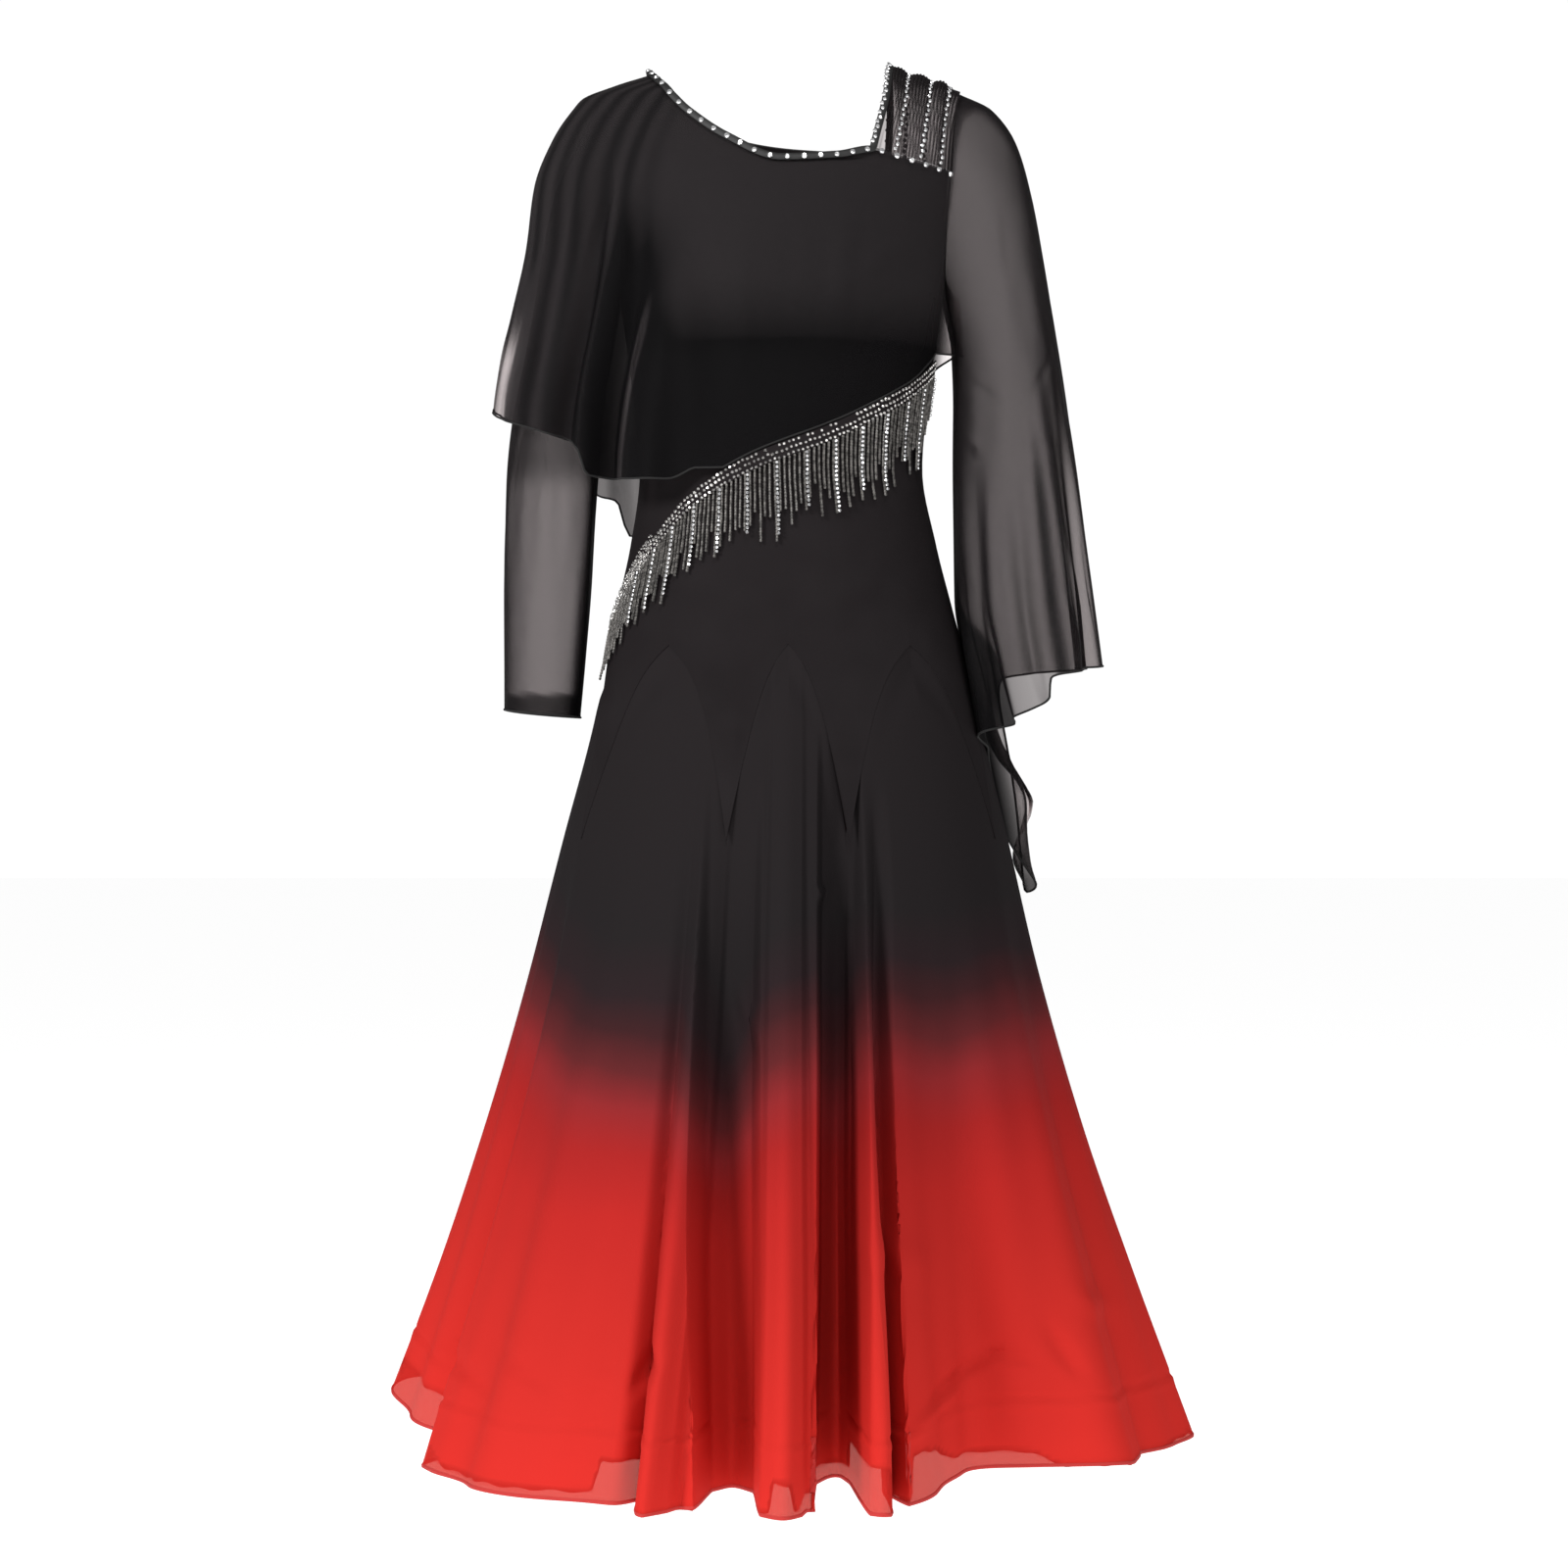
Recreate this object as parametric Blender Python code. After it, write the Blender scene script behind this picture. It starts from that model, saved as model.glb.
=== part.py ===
"""Ballroom dance dress in its worn form with no wearer: an asymmetric sheer drape, a fitted right sleeve, a bell
left sleeve, a slanting beaded waist seam, and a flared skirt of eight arched panels let into a hip yoke.

Metres, +Z up, +X to the wearer's left, -Y to the front. The origin is midway between the neck's shoulder points.
Every piece of cloth is a wall: a pattern in two parameters, laid on a form, with both faces worked out along the
form's normals. Angles on the body form run round it in degrees: 0 is the front, +90 the wearer's left.
"""

import math

import bpy
import numpy as np

# ---- driving dimensions --------------------------------------------------------------------------
CREPE = 0.0016  # wall of the stretch crepe body and skirt
MESH = 0.0012  # wall of the sheer mesh drape and sleeves
SEAM_GAP = 0.0004  # between two pieces that are sewn together
WAIST_Z = -0.330
HEM_Z = -1.170  # skirt hem below the shoulder points
YOKE_POINT_Z = -0.655  # where the yoke's downward points end
ARCH_TOP_Z = -0.493  # where the skirt panels' arches end
BRAID_WIDTH = 0.055  # stiff braid inside the hem
HEM_TURN = 0.001  # the braid starts this far above the hem
BAND_WIDTH = 0.014  # beaded band on the slanting seam, measured up and down
BAND_GAP = 0.002  # from the band up to the drape's hem
STRAND_PITCH = 0.0087  # from one bead strand to the next; every third one is bold
BINDING_WIDTH = 0.007  # neckline binding
ARCH_STITCHES = 6  # straight stretches in a skirt panel's arch
SEAM_STITCH = 15  # degrees between the columns that meet at the slanting seam
HIP_RADIUS, WAIST_RADIUS = 0.17, 0.09
SIDE_CLEAR = 2  # degrees from a side seam to the nearest other column
SHARP = math.radians(50)
TURN_WEIGHT = 0.06  # metres of hem that a radian of turning counts for when columns are shared out
TURN_SPREAD = 31  # samples of the hem, about a millimetre each, that a turn is spread over
MOST_MITRE = 1.7
DRAPE_EASE = 0.0035  # the drape's face stands this far off the body form
BLACK, RED, SILVER = (0.012, 0.011, 0.012), (0.45, 0.02, 0.02), (0.6, 0.6, 0.6)


def table(names, *rows):
    """A short table as named columns."""
    return dict(zip(names.split(), np.array(rows, float).T))


def smooth(at, known_at, known):
    """A smooth curve through the rows of a table that never overshoots them (monotone cubic)."""
    order = np.argsort(known_at)
    x, y = np.asarray(known_at, float)[order], np.asarray(known, float)[order]
    step, rise = np.diff(x), np.diff(y)
    slope = rise / step
    both = slope[:-1] * slope[1:]
    inner = np.where(both > 0, 2 * both / np.where(both > 0, slope[:-1] + slope[1:], 1), 0)
    tangent = np.concatenate([[slope[0]], inner, [slope[-1]]])
    at = np.clip(at, x[0], x[-1])
    i = np.clip(np.searchsorted(x, at) - 1, 0, len(step) - 1)
    t = (at - x[i]) / step[i]
    h00, h10 = (1 + 2 * t) * (1 - t) ** 2, t * (1 - t) ** 2
    h01, h11 = t * t * (3 - 2 * t), t * t * (t - 1)
    return h00 * y[i] + h10 * step[i] * tangent[i] + h01 * y[i + 1] + h11 * step[i] * tangent[i + 1]


def bump(s):
    """A round hill, 1 at s = 0 and flat at s = -1 and 1."""
    return np.where(np.abs(s) < 1, (1 + np.cos(math.pi * np.clip(s, -1, 1))) / 2, 0)


def ease(s):
    """A soft step, 0 up to s = 0 and 1 from s = 1 on."""
    s = np.clip(s, 0, 1)
    return s * s * (3 - 2 * s)


def turned(angle):
    """An angle brought between -180 and 180 degrees."""
    return (angle + 180) % 360 - 180


# ---- the body form: a general figure, then the flare of the skirt --------------------------------
BODY = table(
    "z half_width front back shift",
    (0.006, 0.080, 0.010, 0.010, 0),
    (-0.004, 0.104, 0.022, 0.022, 0),
    (-0.016, 0.140, 0.045, 0.045, 0),
    (-0.028, 0.165, 0.060, 0.060, 0),
    (-0.050, 0.166, 0.073, 0.075, 0),
    (-0.090, 0.157, 0.090, 0.086, 0),
    (-0.140, 0.146, 0.112, 0.092, 0),
    (-0.195, 0.138, 0.124, 0.092, 0),
    (-0.260, 0.129, 0.113, 0.085, 0),
    (-0.340, 0.121, 0.098, 0.082, 0),
    (-0.405, 0.131, 0.101, 0.096, 0.002),
    (-0.460, 0.144, 0.108, 0.110, 0.003),
    (-0.510, 0.155, 0.118, 0.122, 0.005),
    (-0.560, 0.166, 0.133, 0.135, 0.005),
    (-0.650, 0.187, 0.168, 0.162, 0.004),
    (-0.770, 0.213, 0.216, 0.204, 0.003),
    (-0.900, 0.246, 0.260, 0.250, 0.003),
    (-1.030, 0.284, 0.304, 0.292, 0.004),
    (-1.170, 0.329, 0.345, 0.335, 0.004),
)

# Each fold of the skirt runs from the angle where it starts, at its own height, to its angle at the hem. One that
# narrows is that much wider where it starts.
FOLDS = table(
    "start hem depth half_width start_z narrows",
    (-17.0, -18.6, 0.042, 4.5, -0.600, 0.4),
    (-23.0, -22.2, -0.040, 3.6, -0.620, 0.4),
    (-11.0, -7.4, -0.080, 5.0, -0.600, 0.4),
    (0.5, 0.1, 0.034, 3.7, -0.480, 0.4),
    (13.5, 7.4, -0.140, 4.4, -0.560, 0.4),
    (20.5, 12.2, 0.034, 3.6, -0.620, 0.4),
    (26.0, 16.8, -0.090, 3.2, -0.600, 0.4),
    (36, 38, -0.090, 26.0, -0.700, 0),
    (74, 72, -0.020, 12.0, -0.620, 0),
    (93, 93, 0.020, 12.0, -0.560, 0),
    (112, 112, -0.060, 9.0, -0.620, 0),
    (128, 128, 0.030, 9.0, -0.560, 0),
    (145, 145, -0.070, 9.0, -0.620, 0),
    (161, 161, 0.025, 8.0, -0.560, 0),
    (177, 177, -0.060, 9.0, -0.620, 0),
    (-166, -166, 0.030, 9.0, -0.560, 0),
    (-148, -148, -0.065, 9.0, -0.620, 0),
    (-131, -131, 0.025, 8.0, -0.560, 0),
    (-114, -116, -0.055, 9.0, -0.620, 0),
    (-96, -98, 0.030, 13.0, -0.560, 0),
    (-72, -76, -0.055, 11.0, -0.640, 0),
    (-40, -42, 0.014, 16.0, -0.560, 0),
)

# The seams between the skirt's panels: their angle where the yoke's points end and at the hem.
SEAMS = table(
    "point hem",
    (-15, -17),
    (16, 14),
    (70, 68),
    (110, 112),
    (160, 160),
    (200, 200),
    (246, 245),
    (294, 290),
    (345, 343),
)
PANELS = ("front", "left_front", "left_side", "left_back", "back", "right_back", "right_side", "right_front")
HEM_COLUMNS = (32, 26, 12, 14, 12, 14, 14, 18)


def body(angle, z, folded=True):
    """A point of the body form: an oval at each height, with its own depth behind, and the skirt's folds."""
    turn = np.radians(angle)
    half, shift = smooth(z, BODY["z"], BODY["half_width"]), smooth(z, BODY["z"], BODY["shift"])
    deep = np.where(np.cos(turn) > 0, smooth(z, BODY["z"], BODY["front"]), smooth(z, BODY["z"], BODY["back"]))
    out = np.zeros_like(turn * z)
    if folded:
        for start, hem, depth, wide, top, narrows in zip(*FOLDS.values()):
            share = np.clip((top - z) / (top - HEM_Z), 0, 1.02)
            away = turned(angle - start - (hem - start) * share) / (wide * (1 + narrows * (1 - share)))
            out = out + depth * share**1.15 * bump(away)
    x = shift + (half + out * ease(np.abs(np.sin(turn)) * 2)) * np.sin(turn)
    y = -(deep + out) * np.cos(turn)
    return np.stack([x, y, z + 0 * turn], -1)


def body_angle(x, z, behind=False):
    """The angle on the body form's front or back half where it has this x."""
    half, shift = smooth(z, BODY["z"], BODY["half_width"]), smooth(z, BODY["z"], BODY["shift"])
    angle = np.degrees(np.arcsin(np.clip((x - shift) / half, -1, 1)))
    return np.where(behind, 180 - angle, angle)


# ---- the drape's form: a loop round the torso and the wearer's right arm -------------------------
ARM = table(
    "z outermost radius",
    (0.004, -0.088, 0.010),
    (-0.003, -0.108, 0.014),
    (-0.015, -0.140, 0.030),
    (-0.028, -0.171, 0.040),
    (-0.060, -0.1966, 0.048),
    (-0.099, -0.2117, 0.052),
    (-0.155, -0.2190, 0.054),
    (-0.214, -0.2320, 0.056),
    (-0.290, -0.2465, 0.058),
    (-0.400, -0.2520, 0.060),
)
# Folds of the drape, by their place on its loop: 0 over the arm, 100 the wearer's left side, 200 the arm again.
DRAPE_FOLDS = table(
    "place depth half_width start_z",
    (21, -0.012, 3.5, -0.060),
    (25.5, 0.007, 3.0, -0.060),
    (30, -0.012, 3.5, -0.100),
    (38, 0.010, 5.0, -0.170),
    (97, 0.010, 8.0, -0.170),
    (110, 0.012, 9.0, -0.180),
    (140, 0.012, 8.0, -0.100),
    (156, 0.010, 6.0, -0.080),
    (165, -0.012, 5.0, -0.080),
    (173, 0.008, 5.0, -0.080),
    (181, -0.012, 4.0, -0.080),
)
DRAPE_FOLD_GROWS, MOST_DRAPE_FOLD = 0.18, 1.2  # a drape fold has its depth this far down, and its most below
DRAPE_HALF_ROUND = 0.45  # length of half the loop, for its seam gap
BLEND = 22  # how crisply the loop turns from the torso to the arm
LOOP = np.linspace(-90, 270, 361)


def loop_reach(direction, z):
    """How far the loop reaches in a direction: the further of the torso and the arm, rounded where they trade."""
    turn = np.radians(direction)
    lifted = z - DRAPE_EASE
    half = smooth(lifted, BODY["z"], BODY["half_width"]) + DRAPE_EASE
    front, back = smooth(lifted, BODY["z"], BODY["front"]), smooth(lifted, BODY["z"], BODY["back"])
    deep = np.where(np.cos(turn) > 0, front, back) + DRAPE_EASE
    torso = np.hypot(half * np.sin(turn), deep * np.cos(turn))
    radius = smooth(z, ARM["z"], ARM["radius"])
    arm = (smooth(z, ARM["z"], ARM["outermost"]) + radius) * np.sin(turn) + radius
    return (torso**BLEND + np.maximum(arm, 1e-4) ** BLEND) ** (1 / BLEND)


def drape_loops(z):
    """The whole loop at each height, as points in plan, with each point's place on it."""
    z, step = np.asarray(z, float).reshape(-1, 1), 0.25
    reach = loop_reach(LOOP, z)
    slope = (loop_reach(LOOP + step, z) - loop_reach(LOOP - step, z)) / math.radians(2 * step)
    turn = np.radians(LOOP)
    x = reach * np.sin(turn) + slope * np.cos(turn)
    y = -reach * np.cos(turn) + slope * np.sin(turn)
    run = np.cumsum(np.hypot(np.diff(x, prepend=x[:, :1]), np.diff(y, prepend=y[:, :1])), axis=1)
    half = run[:, 180:181]
    place = np.where(run <= half, 100 * run / half, 100 + 100 * (run - half) / (run[:, -1:] - half))
    return x, y, place


def drape_form(place, z):
    """A point of the drape's form, moved out or in by its folds."""
    place, z = np.broadcast_arrays(np.asarray(place, float), np.asarray(z, float))
    x, y, known = drape_loops(z)
    flat, wrapped = np.empty((z.size, 2)), place.ravel() % 200
    ahead = (wrapped + 0.5) % 200
    beside = np.empty((z.size, 2))
    for i in range(z.size):
        flat[i] = np.interp(wrapped[i], known[i], x[i]), np.interp(wrapped[i], known[i], y[i])
        beside[i] = np.interp(ahead[i], known[i], x[i]), np.interp(ahead[i], known[i], y[i])
    along = beside - flat
    along /= np.linalg.norm(along, axis=1, keepdims=True)
    out = np.zeros(z.size)
    for at, depth, wide, top in zip(*DRAPE_FOLDS.values()):
        share = np.clip((top - z.ravel()) / DRAPE_FOLD_GROWS, 0, MOST_DRAPE_FOLD)
        away = (wrapped - at + 100) % 200 - 100
        out += depth * share * bump(away / wide)
    flat += out[:, None] * np.stack([along[:, 1], -along[:, 0]], -1)
    return np.concatenate([flat.reshape(*z.shape, 2), z[..., None]], -1)


def drape_place(x, z, behind):
    """The place and height on the drape's loop that lie straight off the point of the body form with this x and z."""
    x, z = np.broadcast_arrays(np.asarray(x, float), np.asarray(z, float))
    angle = body_angle(x, z, behind)
    off = body(angle, z, False) + DRAPE_EASE * normals(body, angle, z, 0.5, 0.0004)
    want = (np.degrees(np.arctan2(off[..., 0], -off[..., 1])).ravel() + 90) % 360
    want = np.where((want > 350) & (not behind), want - 360, want)
    high = off[..., 2].ravel()
    loop_x, loop_y, known = drape_loops(high)
    seen = np.degrees(np.unwrap(np.arctan2(loop_x, -loop_y), axis=1)) + 90
    found = [np.interp(want[i], seen[i], known[i]) for i in range(z.size)]
    return np.array(found).reshape(x.shape), high.reshape(x.shape)


# ---- walls ---------------------------------------------------------------------------------------
def normals(form, a, b, step_a, step_b):
    """The form's outward normals, from the differences either side of each point."""
    along_a = form(a + step_a, b) - form(a - step_a, b)
    along_b = form(a, b + step_b) - form(a, b - step_b)
    n = np.cross(along_a, along_b)
    return n / np.maximum(np.linalg.norm(n, axis=-1, keepdims=True), 1e-12)


def mitred(points):
    """Normals of a closed ring, turned and lengthened so that a wall keeps its thickness where columns turn."""
    across = np.roll(points, -1, axis=1) - points
    up = np.gradient(points, axis=0)
    flat = np.cross(across, up + np.roll(up, -1, axis=1))
    flat /= np.linalg.norm(flat, axis=-1, keepdims=True)
    both = np.roll(flat, 1, axis=1) + flat
    both /= np.linalg.norm(both, axis=-1, keepdims=True)
    return both / np.maximum((both * flat).sum(-1, keepdims=True), 1 / MOST_MITRE)


def signed_volume(points, faces):
    """Six times the volume inside triangles, positive when they face out."""
    a, b, c = np.moveaxis(points[np.array(faces)], 1, 0)
    return (np.cross(a, b) * c).sum()


def wall(name, outer, inner, colour, sheer=False, closed=False, keep=None):
    """A closed wall between two grids of points. keep says which cells are cloth; the rest are left open.

    Each cell is cut from its first corner to its third, so that walls laid on the same grid stay parallel.
    """
    rows, cols = outer.shape[:2]
    spans = cols if closed else cols - 1
    keep = np.ones((rows - 1, spans), bool) if keep is None else keep

    def at(row, col, side):
        return (side * rows + row) * cols + col % cols

    faces = []
    for r, c in zip(*np.nonzero(keep)):
        corners = [(r, c), (r, c + 1), (r + 1, c + 1), (r + 1, c)]
        first, second, third, fourth = [at(*p, 0) for p in corners]
        faces += [[first, second, third], [first, third, fourth]]
        first, second, third, fourth = [at(*p, 1) for p in corners]
        faces += [[third, second, first], [fourth, third, first]]
        beside = [(r - 1, c), (r, c + 1), (r + 1, c), (r, c - 1)]
        for (near_row, near_col), p, q in zip(beside, corners, corners[1:] + corners[:1]):
            inside = 0 <= near_row < rows - 1 and (closed or 0 <= near_col < spans)
            if not inside or not keep[near_row, near_col % spans]:
                faces += [[at(*q, 0), at(*p, 0), at(*p, 1)], [at(*q, 0), at(*p, 1), at(*q, 1)]]
    points = np.concatenate([outer.reshape(-1, 3), inner.reshape(-1, 3)])
    used = sorted({i for face in faces for i in face})
    place = {old: new for new, old in enumerate(used)}
    mesh = bpy.data.meshes.new(name)
    mesh.from_pydata(points[used].tolist(), [], [[place[i] for i in face] for face in faces])
    if signed_volume(points, faces) < 0:
        mesh.flip_normals()
    mesh.shade_smooth()
    mesh.set_sharp_from_angle(angle=SHARP)
    made = bpy.data.objects.new(name, mesh)
    made.data.materials.append(material(name, colour, sheer))
    bpy.context.scene.collection.objects.link(made)
    return made


def material(name, colour, sheer):
    made = bpy.data.materials.new(f"{name}_cloth")
    made.use_nodes = True
    shader = made.node_tree.nodes["Principled BSDF"]
    shader.inputs["Base Color"].default_value = (*colour, 1)
    shader.inputs["Roughness"].default_value = 0.85
    shader.inputs["Metallic"].default_value = 0.0
    shader.inputs["Alpha"].default_value = 0.6 if sheer else 1.0
    return made


def lay(name, form, a, b, thick, colour, lift=0.0, steps=(0.05, 0.0004), **options):
    """A pattern, given as two grids of parameters, laid on a form as a wall whose outer face is lift above it."""
    points, n = form(a, b), normals(form, a, b, *steps)
    return wall(name, points + lift * n, points + (lift - thick) * n, colour, **options)


# ---- the slanting seam, the skirt panels' arches and the yoke ------------------------------------
SLANT = table(
    "angle z",
    (-180, -0.392),
    (-130, -0.440),
    (-90, -0.474),
    (-60, -0.420),
    (-39, -0.376),
    (-15, -0.345),
    (20, -0.315),
    (50, -0.285),
    (90, -0.252),
    (130, -0.310),
    (180, -0.392),
)


def slant_z(angle):
    """Height of the slanting waist seam, high on the wearer's left and low on the right hip."""
    return smooth(turned(angle), SLANT["angle"], SLANT["z"])


def seam_z(angle):
    """The slanting seam in straight stitches, one for each column of the bodice."""
    knots = np.arange(-180, 181, SEAM_STITCH)
    return np.interp(turned(angle), knots, slant_z(np.where(knots == 180, -180, knots)))


def seam_angle(k, z):
    """Angle of the skirt's seam k: it swings from the yoke's point to its place at the hem."""
    share = np.clip((YOKE_POINT_Z - z) / (YOKE_POINT_Z - HEM_Z), 0, 1.02)
    return SEAMS["point"][k] + (SEAMS["hem"][k] - SEAMS["point"][k]) * share


def arch_z(share):
    """A pointed arch over a panel, in straight stitches from its low sides to its high middle."""
    knots = np.linspace(0, 1, ARCH_STITCHES + 1)
    side = np.abs(1 - 2 * knots)
    return np.interp(share, knots, YOKE_POINT_Z + (ARCH_TOP_Z - YOKE_POINT_Z) * (1 - 0.3 * side - 0.7 * side**3))


def hem_z(angle):
    """The hem, a little higher behind the wearer's right and at the front left."""
    return HEM_Z + 0.040 * bump(turned(angle + 104) / 38) + 0.008 * bump(turned(angle - 50) / 36)


def panel_columns(k, count):
    """Shares of a panel's width, closer together where the hem turns, with one at each stitch of its arch."""
    fine = np.linspace(0, 1, 401)
    angle = seam_angle(k, HEM_Z) * (1 - fine) + seam_angle(k + 1, HEM_Z) * fine
    step = np.diff(body(angle, np.full_like(angle, HEM_Z))[:, :2], axis=0)
    heading = np.unwrap(np.arctan2(step[:, 1], step[:, 0]))
    length = np.linalg.norm(step, axis=1)
    turning = np.convolve(np.abs(np.diff(heading, prepend=heading[0])), np.ones(TURN_SPREAD) / TURN_SPREAD, "same")
    weight = length + TURN_WEIGHT * turning
    run = np.concatenate([[0], np.cumsum(weight)])
    share = np.interp(np.linspace(0, run[-1], count + 1), run, fine)
    for stitch in np.linspace(0, 1, ARCH_STITCHES + 1)[1:-1]:
        share[1 + np.argmin(np.abs(share[1:-1] - stitch))] = stitch
    return np.sort(share)


def skirt_ring(rows):
    """The skirt's whole ring of points, with its mitred normals and the column where each panel starts."""
    angles, heights, starts = [], [], [0]
    for k, count in enumerate(HEM_COLUMNS):
        share = panel_columns(k, count)[:-1]
        middle = seam_angle(k, HEM_Z) * (1 - share) + seam_angle(k + 1, HEM_Z) * share
        low, above = hem_z(middle), hem_z(middle) + BRAID_WIDTH
        z = np.concatenate([low[None], above + (arch_z(share) - above) * np.linspace(0, 1, rows)[:, None]])
        angles.append(seam_angle(k, z) * (1 - share) + seam_angle(k + 1, z) * share)
        heights.append(z)
        starts.append(starts[-1] + count)
    points = body(np.concatenate(angles, axis=1), np.concatenate(heights, axis=1))
    return points, mitred(points), starts


def skirt_panel(name, points, n):
    """One flared panel, cut from the ring: its arched top fits the yoke, its sides are the skirt's seams."""
    points = points.copy()
    for end, near in ((0, 1), (-1, -2)):
        inward = points[:, near] - points[:, end]
        points[:, end] += SEAM_GAP * inward / np.linalg.norm(inward, axis=1, keepdims=True)
    return wall(f"skirt_{name}", points, points - CREPE * n, RED)


def hem_braid(points, n):
    """The stiff braid: one ring just inside the hem, which keeps the hem's folds round."""
    low = points[0] + (points[1] - points[0]) * HEM_TURN / BRAID_WIDTH
    outer = np.stack([low, points[1]]) - (CREPE + 2 * SEAM_GAP) * n[:2]
    return wall("hem_braid", outer, outer - MESH * n[:2], BLACK, closed=True)


def skirt(rows):
    """The eight panels and the braid inside their hem."""
    points, n, starts = skirt_ring(rows)
    columns = points.shape[1]
    for name, start, stop in zip(PANELS, starts, starts[1:]):
        taken = np.arange(start, stop + 1) % columns
        skirt_panel(name, points[:, taken], n[:, taken])
    hem_braid(points, n)


def yoke(name, start, stop, rows):
    """Hip yoke: the slanting seam above, and arches with points between them below."""
    angle, low = [], []
    share = np.linspace(0, 1, ARCH_STITCHES + 1)
    for k in range(len(PANELS)):
        left, right = SEAMS["point"][k], SEAMS["point"][k + 1]
        stitch = math.radians(right - left) * HIP_RADIUS / ARCH_STITCHES
        steep = np.abs(np.diff(arch_z(share))).max() / stitch
        angle += list((left + (right - left) * share[:-1] - start) % 360 + start)
        low += list(arch_z(share[:-1]) + SEAM_GAP * math.hypot(1, steep))
    angle, low = np.array(sorted(zip(angle, low))).T
    inside = (angle > start + SIDE_CLEAR) & (angle < stop - SIDE_CLEAR)
    edge = math.degrees(SEAM_GAP / 2 / WAIST_RADIUS)
    columns = np.array([start + edge, *angle[inside], stop - edge])
    low, angle = np.interp(columns, angle, low, period=360), columns
    high = seam_z(angle) - SEAM_GAP
    z = low + (high - low) * np.linspace(0, 1, rows + 1)[:, None]
    return lay(name, body, np.broadcast_to(angle, z.shape), z, CREPE, BLACK)


# ---- bodice and drape ----------------------------------------------------------------------------
ARMHOLE_TOP, UNDERARM = -0.021, -0.198
ARMHOLE = table(
    "z x",
    (-0.021, 0.1520),
    (-0.035, 0.1475),
    (-0.060, 0.1440),
    (-0.090, 0.1420),
    (-0.135, 0.1380),
    (-0.170, 0.1365),
    (-0.198, 0.1380),
)
FRONT_NECK = table(
    "x z",
    (-0.1040, -0.0040),
    (-0.1000, -0.0120),
    (-0.0900, -0.0250),
    (-0.0740, -0.0430),
    (-0.0420, -0.0670),
    (0.0000, -0.0860),
    (0.0450, -0.0830),
    (0.0730, -0.0770),
    (0.1000, -0.0825),
    (0.1420, -0.0910),
)
BACK_NECK = table(
    "x z",
    (-0.1040, -0.0040),
    (-0.0980, -0.0140),
    (-0.0880, -0.0230),
    (-0.0560, -0.0420),
    (0.0000, -0.0530),
    (0.0500, -0.0570),
    (0.0850, -0.0610),
    (0.1430, -0.0760),
)
MESH_FRONT_X, MESH_BACK_X = 0.0730, 0.0850  # where the shoulder mesh starts on each neckline


TOP_ROWS, TOP_COLUMNS = 1.45, 1.6  # how much closer together rows lie near the neck, and points at its right end


def armhole_x(z):
    """How far out the armhole's edge lies, never past the body form's own side."""
    return np.minimum(smooth(z, ARMHOLE["z"], ARMHOLE["x"]), smooth(z, BODY["z"], BODY["half_width"]))


def neck_points(neck, count=80):
    """The neckline's points as x and z, from the wearer's right to left, close together at its right end."""
    x = neck["x"][0] + np.ptp(neck["x"]) * np.linspace(0, 1, count) ** TOP_COLUMNS
    return x, smooth(x, neck["x"], neck["z"])


def torso_pattern(place_at, two_armed, ends, neck, behind, low_z, columns, rows):
    """A front or back of the upper body: columns hold their share of the way between its two side edges.

    It is cut away at both armholes, or only at the wearer's left one where it isn't two_armed.
    """
    right_side, left_side = ends

    def side_edges(z):
        left, right = place_at(armhole_x(z), z, behind)[0], place_at(-armhole_x(z), z, behind)[0]
        free = (z < UNDERARM) | (z > ARMHOLE_TOP)
        left = np.where(free, left_side, left)
        return np.where(free | (not two_armed), right_side, right), left

    at_neck, neck_z = place_at(*neck_points(neck), behind)
    right, left = side_edges(neck_z)
    known = (at_neck - right) / (left - right)
    known[0], known[-1] = 0, 1
    order = np.argsort(known)
    share = np.linspace(0, 1, columns + 1)
    high = np.interp(share, known[order], neck_z[order])
    up = 1 - (1 - np.linspace(0, 1, rows + 1)[:, None]) ** TOP_ROWS
    low = low_z(share)
    z = low + (high - low) * up
    right, left = side_edges(z)
    return right + (left - right) * share, z


def bodice(name, behind, columns, rows):
    """Bodice front or back, from the slanting seam to the neck, shoulder and armholes."""
    edge = math.degrees(SEAM_GAP / 2 / WAIST_RADIUS)
    ends = (270 - edge, 90 + edge) if behind else (-90 + edge, 90 - edge)

    def place_at(x, z, back):
        return body_angle(x, z, back), z

    def low_z(share):
        return seam_z(ends[0] + (ends[1] - ends[0]) * share) + SEAM_GAP

    neck = BACK_NECK if behind else FRONT_NECK
    angle, z = torso_pattern(place_at, True, ends, neck, behind, low_z, columns, rows)
    return lay(name, body, angle, z, CREPE, BLACK)


DRAPE_HEM_FRONT = table(
    "place z", (0, -0.288), (5, -0.296), (19, -0.315), (27, -0.326), (33, -0.350), (41, -0.354), (46, -0.345)
)
DRAPE_HEM_BACK = table(
    "place z",
    (100, -0.236),
    (115, -0.290),
    (135, -0.350),
    (150, -0.384),
    (160, -0.392),
    (167, -0.385),
    (171.5, -0.352),
    (175, -0.318),
    (180, -0.306),
    (190, -0.296),
    (200, -0.288),
)


def drape_hem(place, behind):
    """The drape's free hem; on the front it meets the beaded band and follows it up to the wearer's left."""
    if behind:
        return smooth(place, DRAPE_HEM_BACK["place"], DRAPE_HEM_BACK["z"])
    free = smooth(place, DRAPE_HEM_FRONT["place"], DRAPE_HEM_FRONT["z"])
    waist = np.full(np.shape(place), WAIST_Z)
    x = drape_form(place, waist)[..., 0]
    band = slant_z(body_angle(x, waist)) + BAND_WIDTH / 2 + BAND_GAP
    return np.maximum(free, band)


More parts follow.
